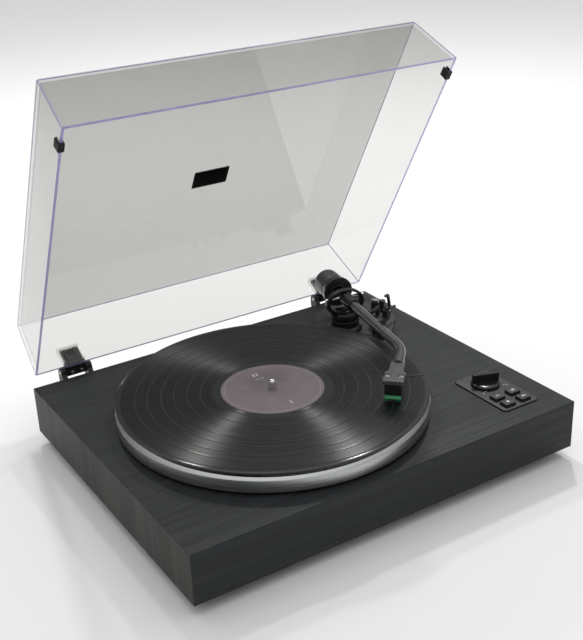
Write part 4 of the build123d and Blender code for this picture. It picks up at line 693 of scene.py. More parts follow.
@dataclass(frozen=True)
class LabelPaper(Finish):
    """Uncoated mauve-grey paper with a darker printed ring near its edge."""

    centre: tuple[float, float] = (0.0, 0.0)
    ring_mm: float = 46.5
    colour: Colour = (0.205, 0.170, 0.190)

    def draw(self, nodes: NodeGraph) -> None:
        """The ring is drawn where the distance from the spindle is near its radius."""
        distance = nodes.from_centre(self.centre)
        ring = nodes.maths("COMPARE", distance, self.ring_mm * MM)
        ring.node.inputs[2].default_value = 0.25 * MM
        fibre = nodes.noise(nodes.coords((700, 700, 700)), 1.0, 4, 0.4)
        cloud = nodes.noise(nodes.coords((55, 55, 55)), 1.0, 2)
        base = nodes.shades(nodes.spread(cloud), self.colour, 0.85, 1.0)
        share = nodes.maths("MULTIPLY", nodes.spread(fibre, 0.4, 0.7), 0.3)
        paper = nodes.blend(share, base, (0.20, 0.17, 0.19))
        nodes.surface(
            Base_Color=nodes.blend(ring, paper, (0.36, 0.33, 0.35)),
            Roughness=0.55,
            Specular_IOR_Level=0.4,
            Normal=nodes.bump(fibre, 0.01, 0.4),
        )


@dataclass(frozen=True)
class ClearAcrylic(Finish):
    """Polished clear sheet, seen through with a light grey tint and mirroring more at a slant; the walls take
    a lighter tint than the broad panels, a painted sheen.
    """

    tint: Colour = (0.700, 0.700, 0.688)
    wall_sheen_tint: Colour = (0.890, 0.890, 0.882)
    gloss: float = 0.012

    def draw(self, nodes: NodeGraph) -> None:
        """The share mirrored is 0.04 + 0.96 f^5, where f is how far the surface turns away."""
        facing = nodes.add("LayerWeight", {"Blend": 0.5}).outputs["Facing"]
        slant = nodes.maths("POWER", facing, 5.0)
        share = nodes.maths("ADD", nodes.maths("MULTIPLY", slant, 0.96), 0.04)
        haze = nodes.noise(nodes.coords(), 40, 3)
        # Painted sheen: faces other than the broad panels are seen through a lighter tint, standing in for
        # the light that the walls mirror.
        tone = nodes.blend(nodes.attribute("broad_panel"), self.wall_sheen_tint, self.tint)
        clear = nodes.add("BsdfTransparent", {"Color": tone})
        gloss = nodes.spread(haze, to=(self.gloss, self.gloss + 0.02))
        mirror = nodes.add("BsdfGlossy", {"Color": (1, 1, 1, 1), "Roughness": gloss})
        nodes.end(nodes.add("MixShader", {0: share, 1: clear.outputs[0], 2: mirror.outputs[0]}))


@dataclass(frozen=True)
class LitEdge(Finish):
    """Edge of a clear sheet, which collects light and shows it as a violet line."""

    colour: Colour = (0.34, 0.30, 0.62)
    body: float = 0.75

    def draw(self, nodes: NodeGraph) -> None:
        """A see-through share is mixed with a soft violet one, varied by noise along the edge."""
        vary = nodes.noise(nodes.coords(), 90, 3)
        tone = nodes.shades(nodes.spread(vary), self.colour, 1.0, 1.3)
        clear = nodes.add("BsdfTransparent", {"Color": (0.9, 0.88, 1.0, 1.0)})
        solid = nodes.add("BsdfPrincipled", {"Base Color": tone, "Roughness": 0.12})
        nodes.end(nodes.add("MixShader", {0: self.body, 1: clear.outputs[0], 2: solid.outputs[0]}))


@dataclass(frozen=True)
class TintedPlastic(Finish):
    """Coloured see-through plastic."""

    colour: Colour = (0.0, 0.30, 0.10)

    def draw(self, nodes: NodeGraph) -> None:
        """Part of the light goes through, tinted."""
        slow = nodes.noise(nodes.coords(), 300, 2)
        tone = nodes.shades(nodes.spread(slow), self.colour, 1.0, 1.3)
        nodes.surface(Base_Color=tone, Roughness=0.15, Transmission_Weight=0.35, IOR=1.49)


@dataclass(frozen=True)
class CircuitBoard(Finish):
    """Green board with darker tracks."""

    colour: Colour = (0.012, 0.090, 0.035)

    def draw(self, nodes: NodeGraph) -> None:
        """Tracks are the edges of cells."""
        cells = nodes.add("TexVoronoi", {"Vector": nodes.coords(), "Scale": 220.0}, distance="CHEBYCHEV")
        track = nodes.spread(cells.outputs["Distance"], 0.30, 0.36)
        nodes.surface(Base_Color=nodes.shades(track, self.colour, 1.0, 1.8), Roughness=0.35)


@dataclass(frozen=True)
class StudioFloor(Finish):
    """Pale matt floor."""

    def draw(self, nodes: NodeGraph) -> None:
        """Very slow noise keeps it from being one flat tone."""
        slow = nodes.spread(nodes.noise(nodes.coords(), 1.5, 2))
        nodes.surface(
            Base_Color=nodes.blend(slow, (0.925, 0.925, 0.925), (0.935, 0.935, 0.935)),
            Roughness=0.9,
            Specular_IOR_Level=0.1,
        )


class Stock(Enum):
    """The finishes that more than one piece shares."""

    VENEER = AshVeneer("black_ash_veneer")
    BLACK = Moulded("black_moulding")
    GLOSS = Moulded("black_gloss_moulding", (0.010, 0.010, 0.011), 0.16, 0.9, 0.004)
    PANEL = Moulded("panel_moulding", (0.020, 0.021, 0.022), 0.40, 0.30, 0.012)
    RUBBER = Moulded("black_rubber", (0.012, 0.012, 0.012), 0.66, 0.5, 0.02, 0.35)
    LACQUER = Lacquer("arm_lacquer")
    WEIGHT = Lacquer("weight_lacquer", (0.070, 0.072, 0.076), 0.34, 0.40)
    FLANGE = Lacquer("dial_flange_lacquer", (0.030, 0.031, 0.033), 0.30, 0.45)
    DARK = Moulded("black_arm_coating", (0.0065, 0.0070, 0.0080), 0.30, 0.5, 0.006, 0.55)
    ALUMINIUM = TurnedMetal("platter_aluminium")
    CHROME = Plated("polished_plating")
    ZINC = Plated("bright_zinc", (0.55, 0.56, 0.57), 0.24)
    NICKEL = Plated("nickel_plating", (0.62, 0.60, 0.56), 0.20)
    BRONZE = Plated("oiled_bronze", (0.50, 0.34, 0.16), 0.28)
    ACRYLIC = ClearAcrylic("clear_acrylic")
    EDGE = LitEdge("acrylic_edge")
    GREEN = TintedPlastic("green_plastic")
    PRINT = Moulded("white_print", (0.62, 0.62, 0.62), 0.5, 0.2, 0.002)
    PALE = Moulded("pale_moulding", (0.60, 0.58, 0.55), 0.45)
    BOARD = CircuitBoard("circuit_board")


def dress(piece: bpy.types.Object, finish: Finish | Stock) -> None:
    """Gives a piece one finish all over."""
    made = (finish.value if isinstance(finish, Stock) else finish).material()
    piece.data.materials.clear()
    piece.data.materials.append(made)


@dataclass
class Assembly:
    """What every sub-assembly shares: how its pieces are dressed and put on their bodies."""

    frame: dict

    def __post_init__(self) -> None:
        """Finds which slot and body each node has, and the joints by name."""
        record = self.frame["record"]
        self.slots = {part["node"]: part["material_slot"] for part in record["subparts"]}
        self.body_of = {n: body for body, nodes in record["behaviour"]["bodies"].items() for n in nodes}
        self.joints = {joint["name"]: joint for joint in self.frame["joints"]}

    def add(
        self, piece: bpy.types.Object, finish: Finish | Stock, body: str, *nodes: str
    ) -> bpy.types.Object:
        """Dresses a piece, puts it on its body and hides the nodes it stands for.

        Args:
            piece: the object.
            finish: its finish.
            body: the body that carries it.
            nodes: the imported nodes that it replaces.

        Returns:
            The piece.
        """
        dress(piece, finish)
        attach(piece, body)
        if nodes:
            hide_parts(*nodes)
        log.info("%s rides on %s", piece.name, body)
        return piece

    def ease(self, node: str, finish: Finish | Stock, bevel_mm: float = 0.0) -> bpy.types.Object:
        """Shows an eased copy of a node in place of it."""
        return self.add(refined(node, bevel_mm), finish, self.body_of[node], node)

    def keep(self, node: str, finish: Finish | Stock) -> None:
        """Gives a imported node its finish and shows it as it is."""
        dress(self.frame["nodes"][node], finish)
        log.info("%s is kept as packed", node)

    def build(self) -> None:
        """Builds and dresses the sub-assembly's pieces."""
        raise NotImplementedError


# ---- sub-assemblies ------------------------------------------------------------------------------
@dataclass
class Cabinet(Assembly):
    """Plinth, feet, underside and what is shut inside it."""

    def build(self) -> None:
        """Veneers the plinth and dresses the rest."""
        plinth = self.ease("plinth_body", Stock.VENEER)
        facing_x = np.abs(triples(plinth.data.polygons, "normal")[:, 0]) > 0.7
        mark_faces(plinth.data, "end_face", facing_x)
        self.ease("bottom_cover", Stock.BLACK, 0.3)
        self.ease("feet", Stock.RUBBER, 0.3)
        self.ease("underside_screws", Stock.ZINC, 0.25)
        for node, finish in (
            ("main_board", Stock.BOARD),
            ("control_board", Stock.BOARD),
            ("motor_body", Stock.ZINC),
            ("bearing_housing", Stock.BRONZE),
            ("thrust_ball", Stock.CHROME),
            ("motor_shaft", Stock.CHROME),
            ("motor_pulley", Stock.BRONZE),
            ("drive_belt", Stock.RUBBER),
            ("chassis_screws", Stock.ZINC),
        ):
            self.keep(node, finish)


@dataclass
class RearPanel(Assembly):
    """Sockets, earth terminal and switch at the back."""

    def build(self) -> None:
        """Dresses the panel's pieces."""
        self.ease("rear_panel", Stock.BLACK)
        self.ease("jack_shells", Stock.NICKEL, 0.15)
        self.ease("jack_inserts", Stock.PALE, 0.15)
        self.ease("ground_terminal", Stock.NICKEL, 0.12)
        self.ease("power_socket", Stock.BLACK, 0.2)
        self.ease("select_slider", Stock.PALE, 0.2)


@dataclass
class Turntable(Assembly):
    """Platter, mat, record, label and spindle."""

    rim_mm: float = 6.0
    wall_drop_mm: float = 3.7
    chamfer_mm: float = 4.0
    disc_mm: float = 3.0
    drive_ring_mm: tuple[float, float, float] = (84.0, 87.0, 10.1)
    boss_mm: tuple[float, float] = (12.0, 8.2)
    bead_mm: float = 5.3
    track_gaps_mm: tuple[float, ...] = (132.0, 120.3, 107.3, 95.2, 82.6, 69.6)
    run_out_mm: float = 58.0
    groove_depth_mm: float = 0.2
    disc_hole_mm: float = 3.75
    mat_hole_mm: float = 4.3

    def __post_init__(self) -> None:
        """Reads the frame and finds the spindle's line."""
        super().__post_init__()
        _, _, middle = box_of("platter")
        self.centre = (float(middle[0]), float(middle[1]))
        self.axis = Place.at((*self.centre, 0.0))

    def platter(self) -> bpy.types.Object:
        """The turned platter: its section is a rim, a bright chamfer, a disc, a drive ring and a boss."""
        low, high, _ = box_of("platter")
        outer = (high[0] - low[0]) / 2
        inner, under = outer - self.rim_mm * MM, high[2] - self.disc_mm * MM
        ring_in, ring_out, ring_drop = (v * MM for v in self.drive_ring_mm)
        boss, boss_drop = (v * MM for v in self.boss_mm)
        bore = (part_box("spindle_shaft")[1].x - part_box("spindle_shaft")[0].x) / 2 + 0.02 * MM
        corners = np.array(
            [
                (bore, under - boss_drop),
                (boss, under - boss_drop),
                (boss, under),
                (ring_in, under),
                (ring_in, under - ring_drop),
                (ring_out, under - ring_drop),
                (ring_out, under),
                (inner, under),
                (inner, low[2]),
                (outer, low[2]),
                (outer, high[2] - self.wall_drop_mm * MM),
                (outer - self.chamfer_mm * MM, high[2]),
                (bore, high[2]),
            ]
        )
        outline, segments = rounded(corners, 0.35 * MM, 3), 288
        surface = lathe(self.axis, outline, segments)
        near_rim = outline[:, 0] > outer - self.chamfer_mm * MM - 0.02 * MM
        near_top = outline[:, 1] > high[2] - self.wall_drop_mm * MM - 0.02 * MM
        surface.values["polish"] = np.repeat((near_rim & near_top).astype(float), segments)
        return put("platter_turned", surface, 20)

    def record(self) -> bpy.types.Object:
        """The record: its height slopes down from the bead to the grooves, and dips at each track gap."""
        low, high, _ = box_of("record")
        outer, top = (high[0] - low[0]) / 2, high[2]
        label = (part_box("record_label")[1].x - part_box("record_label")[0].x) / 2
        hole, rim = self.disc_hole_mm * MM, outer - 0.7 * MM
        seat = top - 0.1 * MM
        groove = top - self.groove_depth_mm * MM
        bead = outer - self.bead_mm * MM
        knots_r = np.array([hole, label + 2.4 * MM, label + 3.0 * MM, bead, bead + 1.0 * MM, rim])
        knots_h = np.array([seat, seat, groove, groove, top, top])
        gaps = np.array(self.track_gaps_mm) * MM
        offsets = np.array([-0.75, -0.45, 0.0, 0.45, 0.75]) * MM
        near_gaps = (gaps[:, None] + offsets).ravel()
        radii = np.unique(np.concatenate([np.linspace(hole, rim, 56), knots_r, near_gaps]))
        nearest = np.abs(radii[:, None] - gaps).min(1)
        gap = np.clip(1 - (nearest - 0.45 * MM) / (0.3 * MM), 0, 1)
        heights = np.interp(radii, knots_r, knots_h) - 0.05 * MM * gap
        under = low[2]
        edge = np.array(
            [(outer, top - 0.7 * MM), (outer, under + 0.6 * MM), (outer - 0.6 * MM, under), (hole, under)]
        )
        outline = np.concatenate([np.stack([radii, heights], -1), edge])
        # band marks the smooth track gaps, run-out, bead and edge: the finish makes them glossier and also
        # paints them lighter, a painted sheen.
        run_out = [self.run_out_mm * MM, (self.run_out_mm + 1) * MM]
        band = np.maximum(gap, np.interp(radii, run_out, [0.75, 0.0]))
        band = np.maximum(band, np.interp(radii, [bead - 0.2 * MM, bead + 0.4 * MM], [0.0, 0.85]))
        segments = 360
        surface = lathe(self.axis, outline, segments)
        surface.values["band"] = np.repeat(np.concatenate([band, np.full(len(edge), 0.8)]), segments)
        return put("record_pressed", surface, 50)

    def ring_outline(self, node: str, hole: float, inset: float, ease: float, steps: int) -> np.ndarray:
        """Section of a flat ring with eased edges, as large as a node's box.

        Args:
            node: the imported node.
            hole: radius of its hole.
            inset: how far it stays inside the box.
            ease: how far its edges are eased.
            steps: points for each edge, less one.

        Returns:
            The (radius, height) outline.
        """
        low, high, _ = box_of(node)
        outer = (high[0] - low[0]) / 2 - inset
        corners = np.array([(hole, low[2]), (outer, low[2]), (outer, high[2]), (hole, high[2])])
        return rounded(corners, ease, steps)

    def label(self) -> bpy.types.Object:
        """The paper label: a flat ring with an eased edge."""
        outline = self.ring_outline("record_label", self.disc_hole_mm * MM, 0.0, 0.03 * MM, 2)
        return put("record_label_paper", lathe(self.axis, outline, 192), 40)

    def spindle(self) -> bpy.types.Object:
        """The spindle: a shaft, a shoulder and a domed tip."""
        low, high, _ = box_of("spindle_shaft")
        shaft = (high[0] - low[0]) / 2
        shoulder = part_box("platter")[1].z
        pin = shaft - 0.4 * MM
        dome, rise = np.linspace(0, math.pi / 2, 9), 2.9 * MM
        tip = np.stack([pin * np.cos(dome), high[2] - rise + rise * np.sin(dome)], -1)
        foot = np.array([(0, low[2]), (shaft, low[2]), (shaft, shoulder), (pin, shoulder)])
        outline = np.concatenate([foot, tip])
        return put("spindle_turned", lathe(self.axis, outline, 64), 40)

    def mat(self) -> bpy.types.Object:
        """The mat: a flat ring with eased edges."""
        outline = self.ring_outline("platter_mat", self.mat_hole_mm * MM, 0.1 * MM, 0.5 * MM, 3)
        return put("platter_mat_ring", lathe(self.axis, outline, 256), 40)

    def build(self) -> None:
        """Builds the turning pieces."""
        self.add(self.platter(), Stock.ALUMINIUM, "platter", "platter")
        self.add(self.mat(), Stock.RUBBER, "platter", "platter_mat")
        self.add(self.record(), PressedVinyl("pressed_vinyl", self.centre), "platter", "record")
        self.add(self.label(), LabelPaper("label_paper", self.centre), "platter", "record_label")
        self.add(self.spindle(), Stock.CHROME, "platter", "spindle_shaft")
        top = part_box("record_label")[1].z
        numbers = (("33", 33.0, 5.2), ("1", -34.0, 7.0), ("12 2 26", 24.0, 2.2))
        for index, (text, reach, size) in enumerate(numbers):
            place = self.axis.moved(0.0, reach * MM, top - PRINT_SINK)
            self.add(numerals(f"label_number_{index}", text, size * MM, place), Stock.PRINT, "platter")


@dataclass
class ControlPanel(Assembly):
    """Raised panel, speed knob and four buttons with plain marks."""

    fin_mm: tuple[float, float] = (27.6, 4.0)
    fin_turn: float = -21.0
    knob_base_mm: float = 3.7
    shaft_mm: float = 3.0
    mark_thick_mm: float = 0.05

    def knob(self) -> bpy.types.Object:
        """The knob: a domed round base that a rounded fin stands on."""
        low, high, middle = box_of("speed_knob")
        radius = (high[0] - low[0]) / 2
        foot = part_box("control_panel")[1].z + 0.3 * MM
        axis = Place.at((middle[0], middle[1], foot))
        dome, sink = self.knob_base_mm * MM, 0.8 * MM
        corners = np.array(
            [(0, 0), (radius, 0), (radius, dome - 1.0 * MM), (radius - 3.0 * MM, dome), (0, dome)]
        )
        reach = np.array([0, 0.4, 1.4, 2.2, 0]) * MM
        base = lathe(axis, rounded(corners, reach, 6), 96)
        turn = math.radians(self.fin_turn)
        fin_foot = (middle[0], middle[1], foot + dome - sink)
        fin_place = Place.at(fin_foot, (math.cos(turn), math.sin(turn), 0))
        length, width = (v * MM for v in self.fin_mm)
        fin = cushion_block(fin_place, (length, width, high[2] - foot - dome + sink), 5.0, 0.9 * MM)
        thick, tall = self.shaft_mm * MM, foot - low[2] + 0.5 * MM
        section = np.array([(0, 0), (thick, 0), (thick, tall), (0, tall)])
        shaft = lathe(Place.at((middle[0], middle[1], low[2])), section, 32)
        return put("speed_knob_moulded", joined([base, fin, shaft]), 38)

    def marks(self) -> None:
        """Plain white marks: bars, a square and an arrow on the buttons, and the speeds with their dots."""
        bar, wide, square = (box_outline(*half) * MM for half in ((0.35, 1.9), (2.2, 0.4), (1.3, 1.3)))
        arrow = np.array([(-1.4, -1.6), (1.6, 0.0), (-1.4, 1.6)]) * MM
        pair = [wide + (0, -0.9 * MM), wide + (0, 0.9 * MM)]
        shapes = {1: [wide], 2: pair, 3: [square], 4: [arrow, bar + (2.3 * MM, 0)]}
        thick = self.mark_thick_mm * MM
        for number, outlines in shapes.items():
            _, high, middle = box_of(f"button_{number}")
            place = Place.at((middle[0], middle[1], high[2] - PRINT_SINK))
            surface = joined([plate_of(place, outline, thick) for outline in outlines])
            self.add(put(f"button_mark_{number}", surface), Stock.PRINT, f"button_{number}")
        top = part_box("control_panel")[1].z
        _, _, knob = box_of("speed_knob")
        ring = np.arange(20) * 2 * math.pi / 20
        dot = np.stack([np.cos(ring), np.sin(ring)], -1) * 0.55 * MM
        for name, x, y, text in (("slow", -9.6, -11.6, "33"), ("fast", 14.2, -11.4, "45")):
            place = Place.at((knob[0] + x * MM, knob[1] + y * MM, top - PRINT_SINK))
            self.add(put(f"speed_dot_{name}", plate_of(place, dot, thick)), Stock.PRINT, "plinth")
            text_place = place.moved(-4.0 * MM if x < 0 else 2.2 * MM, -1.6 * MM, 0)
            self.add(numerals(f"speed_{name}", text, 1.8 * MM, text_place), Stock.PRINT, "plinth")

    def build(self) -> None:
        """Builds the panel's pieces."""
        self.ease("control_panel", Stock.PANEL)
        self.add(self.knob(), Stock.GLOSS, "speed_knob", "speed_knob")
        for number in (1, 2, 3, 4):
            self.ease(f"button_{number}", Stock.BLACK)
        self.marks()


@dataclass
class Tonearm(Assembly):
    """Bent tube on its gimbal, with the headshell, cartridge, counterweight, lift and rest."""

    tube_mm: float = 5.0
    tube_start_mm: float = 12.0
    straight_mm: float = 127.0
    bend_radius_mm: float = 50.0
    bend_angle: float = 33.0
    tube_end_mm: float = 20.4
    tube_cap_mm: float = 0.3
    weight_mm: tuple[float, float, float, float] = (15.0, 25.5, 54.5, 9.0)
    weight_bore_mm: float = 6.56
    dial_mm: tuple[float, float, float] = (16.5, 17.0, 25.2)
    dial_bore_mm: float = 9.05
    dial_band_drop_mm: float = 0.5
    finger_mm: tuple[float, float] = (1.15, 0.75)

    def __post_init__(self) -> None:
        """Reads the frame and finds the arm's axes from its joints."""
        super().__post_init__()
        pivot = np.array(self.joints["arm_swing"]["pos_m"])
        self.heading = np.array(self.joints["weight_turn"]["axis"])
        self.axis = Place.at(pivot, self.heading)
        self.behind = Place(self.axis.origin, self.axis.y_dir, -self.heading)

    def path(self, reach: np.ndarray) -> np.ndarray:
        """The tube's middle line at distances along it: straight, an arc to the right, then straight."""
        turn, radius = math.radians(self.bend_angle), self.bend_radius_mm * MM
        first = self.straight_mm * MM
        angle = np.clip((reach - first) / radius, 0, turn)
        rest = np.maximum(reach - first - radius * turn, 0)
        x = np.minimum(reach, first) + radius * np.sin(angle) + rest * math.cos(turn)
        y = -radius * (1 - np.cos(angle)) - rest * math.sin(turn)
        return self.axis.world(np.stack([x, y, 0 * x], -1))

    def tube(self) -> bpy.types.Object:
        """The bent tube, a circle carried along the path, with rounded ends."""
        bend = self.bend_radius_mm * math.radians(self.bend_angle)
        total = (self.straight_mm + bend + self.tube_end_mm) * MM
        start, radius = self.tube_start_mm * MM, self.tube_mm * MM
        bend_start, cap = self.straight_mm * MM, self.tube_cap_mm * MM
        ease = np.linspace(0, 1, 5)
        stretches = [
            start + cap * ease,
            np.linspace(start, bend_start, 16)[1:],
            np.linspace(bend_start, total - cap, 40)[1:],
            total - cap * ease[::-1][1:],
        ]
        reach = np.unique(np.round(np.concatenate(stretches), 9))
        radii = np.full(len(reach), radius)
        radii[[0, -1]] = 0.0
        radii[[1, -2]] = radius - 0.2 * MM
        return put("arm_tube_bent", carried(self.path(reach), (0, 0, 1), radii, 1.0, 48), 50)

    def finger(self) -> bpy.types.Object:
        """The finger lift: a tapered rod along the arch root + (tip - root) s + 3.6 h s (1 - s) up."""
        _, high, middle = box_of("finger_lift")
        points = triples(bpy.data.objects["finger_lift"].data.vertices, "co")
        shell = box_of("headshell")[2]
        away = np.linalg.norm(points[:, :2] - shell[:2], axis=1)
        root, tip = points[np.argmin(away)], points[np.argmax(away)]
        start, end = self.finger_mm
        share = np.linspace(0, 1, 24)
        rise = np.zeros((len(share), 3))
        rise[:, 2] = (high[2] - middle[2] - start * MM) * 4 * share * (1 - share) * 0.9
        path = root + (tip - root) * share[:, None] + rise
        radii = np.interp(share, [0, 0.5, 1], [start, start * 0.9, end]) * MM
        radii[0], radii[-1] = 0.0, 0.0
        radii[-2] = 0.6 * end * MM
        return put("finger_lift_rod", carried(path, (0, 0, 1), radii, 0.8, 20), 60)

    def counterweight(self) -> bpy.types.Object:
        """The counterweight: a shell with a rounded back, a shallow turned groove and a hub in front."""
        radius, front, back, hub = self.weight_mm
        bore, bore_end, hub_front = self.weight_bore_mm, back - 5.7, front - 7.9
        corners = np.array(
            [
                (bore, hub_front),
                (hub, hub_front),
                (hub, front),
                (radius, front),
                (radius, front + 3.2),
                (radius - 0.5, front + 3.6),
                (radius - 0.5, front + 4.6),
                (radius, front + 5.0),
                (radius, back - 5.0),
                (radius - 1.4, back - 1.6),
                (radius - 5.0, back),
                (0.0, back),
                (0.0, bore_end),
                (bore, bore_end),
            ]
        )
        reach = np.array([0.1, 0.2, 0.2, 0.5, 0.15, 0.15, 0.15, 0.15, 2.2, 2.0, 2.0, 0, 0, 0.1])
        return put("counterweight_turned", lathe(self.behind, rounded(corners, reach, 5) * MM, 96), 30)

    def dial(self) -> bpy.types.Object:
        """The force dial: a band for the numbers, and a flange ribbed by r - a |cos(20 angle)|."""
        radius, front, back = self.dial_mm
        bore, band, flange = self.dial_bore_mm, radius - self.dial_band_drop_mm, radius + 0.4
        corners = np.array(
            [
                (bore, back),
                (band, back),
                (band, front + 2.6),
                (flange, front + 2.2),
                (flange, front + 0.4),
                (radius, front),
                (bore, front),
            ]
        )
        outline, segments = rounded(corners, 0.25, 3), 240
        angle = np.arange(segments) * 2 * math.pi / segments
        on_flange = (outline[:, 0] > radius + 0.2) * 1.0
        wave = -0.22 * MM * on_flange[:, None] * np.abs(np.cos(20 * angle))[None, :]
        return put("force_dial_band", lathe(self.behind, outline * MM, segments, wave), 30)

    def dial_print(self) -> None:
        """Numbers 0 to 4 and ticks round the dial's band, each turned to stand square on it."""
        radius, front, back = self.dial_mm
        reach = (radius - self.dial_band_drop_mm) * MM - PRINT_SINK
        tick = box_outline(0.14, 0.55) * MM
        ticks, steps = [], 20
        for step in range(steps):
            angle = 2 * math.pi * step / steps
            out = self.axis.y_dir * math.cos(angle) + self.axis.z_dir * math.sin(angle)
            side = np.cross(self.heading, out)
            tick_at, number_at = (
                Place(self.axis.origin - self.heading * behind * MM + out * reach, side, out)
                for behind in (back - 1.1, front + 4.2)
            )
            ticks.append(plate_of(tick_at, tick, 0.04 * MM))
            if step % 4 == 0:
                number = numerals(f"dial_number_{step}", str(step // 4), 2.6 * MM, number_at)
                self.add(number, Stock.PRINT, "force_dial")
        self.add(put("dial_ticks", joined(ticks)), Stock.PRINT, "force_dial")

    def build(self) -> None:
        """Builds the arm and what carries it."""
        self.add(self.tube(), Stock.LACQUER, "arm", "arm_tube")
        self.add(self.counterweight(), Stock.WEIGHT, "counterweight", "counterweight")
        self.add(self.dial(), Stock.FLANGE, "force_dial", "force_dial")
        self.dial_print()
        self.ease("tonearm_base", Stock.PANEL)
        self.ease("pivot_tower", Stock.DARK, 0.1)
        self.ease("gimbal_ring", Stock.DARK)
        self.ease("pivot_screws", Stock.ZINC, 0.2)
        self.ease("pivot_barrel", Stock.DARK)
        self.ease("headshell", Stock.LACQUER, 0.12)
        self.ease("headshell_screws", Stock.CHROME)
        self.add(self.finger(), Stock.BLACK, "arm", "finger_lift")
        self.ease("cartridge_body", Stock.GLOSS, 0.25)
        self.ease("stylus_assembly", Stock.GREEN, 0.25)
        self.keep("cantilever", Stock.ZINC)
        self.keep("weight_carriage", Stock.BLACK)
        self.ease("lift_bar", Stock.RUBBER, 0.4)
        self.ease("lifter_housing", Stock.BLACK)
        self.ease("cue_lever", Stock.BLACK)
        self.ease("lever_pins", Stock.ZINC)
        self.ease("anti_skate_post", Stock.BLACK)
        self.ease("anti_skate_dial", Stock.CHROME)
        self.ease("arm_rest", Stock.BLACK, 0.35)
        self.ease("rest_clip", Stock.BLACK, 0.25)


@dataclass
class DustCover(Assembly):
    """Clear cover with its lit edges, bumpers, badge plate and hinges."""

    edge_mm: float = 0.42

    def __post_init__(self) -> None:
        """Reads the frame and finds the cover's axes from its hinge."""
        super().__post_init__()
        hinge = self.joints["lid_hinge"]
        turn = math.radians(-hinge["range_deg"][0])
        self.axis = Place.at(hinge["pos_m"], (1, 0, 0), (0, math.sin(turn), math.cos(turn)))

    def shell(self) -> bpy.types.Object:
        """The clear shell: an eased copy whose rim faces take the edge finish."""
        piece = self.ease("dust_cover", Stock.ACRYLIC, 0.25)
        mesh = piece.data
        mesh.materials.append(Stock.EDGE.value.material())
        facing = triples(mesh.polygons, "normal") @ self.axis.z_dir
        height = (triples(mesh.polygons, "center") - self.axis.origin) @ self.axis.z_dir
        rim = (facing < -0.95) & (height < height.min() + 0.5 * MM)
        mesh.polygons.foreach_set("material_index", rim.astype(np.int32))
        # The broad panels take the darker tint; the other faces take the lighter one, a painted sheen.
        mark_faces(mesh, "broad_panel", np.abs(facing) > 0.9)
        return piece

    def corner_lines(self) -> bpy.types.Object:
        """Thin lines of light inside the outer corners: the outline at the top, and four uprights."""
        mesh = self.frame["nodes"]["dust_cover"].data
        local = self.axis.local(triples(mesh.vertices, "co"))
        inset = 0.8 * MM
        rings = []
        for height in (local[:, 2].min(), local[:, 2].max()):
            level = local[np.abs(local[:, 2] - height) < 0.3 * MM, :2]
            left, front = level.min(0) + inset
            right, back = level.max(0) - inset
            corners = [(left, front), (right, front), (right, back), (left, back)]
            rings.append(np.array([(x, y, height) for x, y in corners]))
        lower, upper = rings
        upper[:, 2] -= 0.7 * MM
        pairs = [(upper[i], upper[(i + 1) % 4]) for i in range(4)] + [(lower[i], upper[i]) for i in range(4)]
        surfaces = []
        for start, end in pairs:
            share = np.array([0.0, 0.002, 0.5, 0.998, 1.0])[:, None]
            path = self.axis.world(start + (end - start) * share)
            radii = np.array([0.0, 1.0, 1.0, 1.0, 0.0]) * self.edge_mm * MM
            surfaces.append(carried(path, (0.31, 0.52, 0.80), radii, 1.0, 10))
        return put("cover_edge_lines", joined(surfaces), 60)

    def build(self) -> None:
        """Builds the cover."""
        self.shell()
        self.add(self.corner_lines(), Stock.EDGE, "lid")
        self.ease("lid_bumpers", Stock.RUBBER, 0.2)
        self.ease("badge_plate", Stock.PANEL, 0.15)
        self.ease("hinge_leaves", Stock.BLACK, 0.2)
        self.ease("hinge_screws", Stock.CHROME)
        self.ease("hinge_brackets", Stock.BLACK, 0.25)
        self.ease("hinge_pins", Stock.ZINC, 0.2)


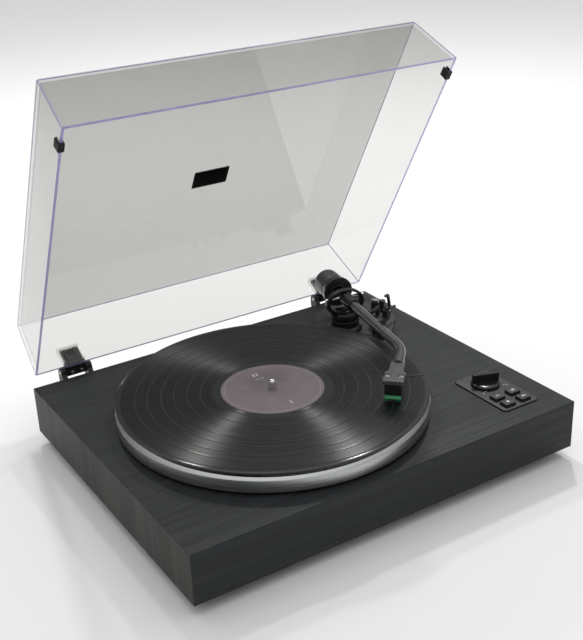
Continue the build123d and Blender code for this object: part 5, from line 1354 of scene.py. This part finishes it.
# ---- studio --------------------------------------------------------------------------------------
@dataclass(frozen=True)
class Studio:
    """Pale floor, soft light and the camera."""

    lens: float = 61.187
    azimuth: float = -31.71
    elevation: float = 24.52
    roll: float = -2.28
    camera: tuple[float, float, float] = (-0.5009, -0.8381, 0.5773)
    floor_half: float = 30.0
    sky_rise: float = 1.25
    sky_low: float = 0.27
    lamp_right: tuple[float, float, float] = (1.05, 0.88, 1.72)
    lamp_behind: tuple[float, float, float] = (0.24, 1.36, 1.72)
    lamp_size: float = 0.12
    lamp_watts: float = 11.0
    lamp_target: tuple[float, float, float] = (0.0, 0.0, 0.1)

    def floor(self) -> None:
        """A wide floor plane under the feet."""
        half = self.floor_half
        front, back = ([(-half, y, 0), (half, y, 0)] for y in (-half, half))
        floor = put("studio_floor", grid_surface(np.array([front, back], float), wrap_columns=False))
        if floor.data.polygons[0].normal.z < 0:
            floor.data.flip_normals()
        dress(floor, StudioFloor("studio_floor"))

    def light(self) -> None:
        """A sky of brightness sky_low + sky_rise z^2, and a lamp to the right and one behind."""
        world = bpy.data.worlds.new("soft_sky")
        bpy.context.scene.world = world
        nodes = NodeGraph(world)
        coords = nodes.add("TexCoord").outputs["Generated"]
        height = nodes.add("SeparateXYZ", {0: coords}).outputs[2]
        square = nodes.maths("MULTIPLY", height, height)
        scale = {0: square, 1: self.sky_rise, 2: self.sky_low}
        strength = nodes.add("Math", scale, operation="MULTIPLY_ADD").outputs[0]
        nodes.end(nodes.add("Background", {"Strength": strength}), "OutputWorld")
        for name, place in (("lamp_right", self.lamp_right), ("lamp_behind", self.lamp_behind)):
            data = bpy.data.lights.new(name, "AREA")
            data.shape, data.energy = "RECTANGLE", self.lamp_watts
            data.size = data.size_y = self.lamp_size
            lamp = linked(name, data)
            lamp.location = place
            aim = Vector(self.lamp_target) - Vector(place)
            lamp.rotation_euler = aim.to_track_quat("-Z", "Y").to_euler()

    def aim(self) -> None:
        """The camera: looks along its azimuth and elevation, rolled about its own line."""
        a, e, r = (math.radians(v) for v in (self.azimuth, self.elevation, self.roll))
        back = np.array([math.sin(a) * math.cos(e), -math.cos(a) * math.cos(e), math.sin(e)])
        right = np.array([math.cos(a), math.sin(a), 0.0])
        up = np.cross(back, right)
        turned = Place(np.array(self.camera), math.cos(r) * right + math.sin(r) * up, back)
        data = bpy.data.cameras.new("camera")
        data.lens, data.sensor_width = self.lens, 36.0
        camera = linked("camera", data)
        camera.matrix_world = turned.matrix()
        bpy.context.scene.camera = camera

    def build(self) -> None:
        """Sets up the studio with plain colour handling."""
        bpy.context.scene.view_settings.view_transform = "Standard"
        self.floor()
        self.light()
        self.aim()


def main() -> None:
    """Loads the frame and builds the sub-assemblies in order."""
    logging.basicConfig(level=logging.INFO, format="%(message)s")
    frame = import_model()
    for kind in (Cabinet, RearPanel, Turntable, ControlPanel, Tonearm, DustCover):
        kind(frame).build()
        log.info("built %s", kind.__name__)
    Studio().build()


if __name__ == "__main__":
    main()
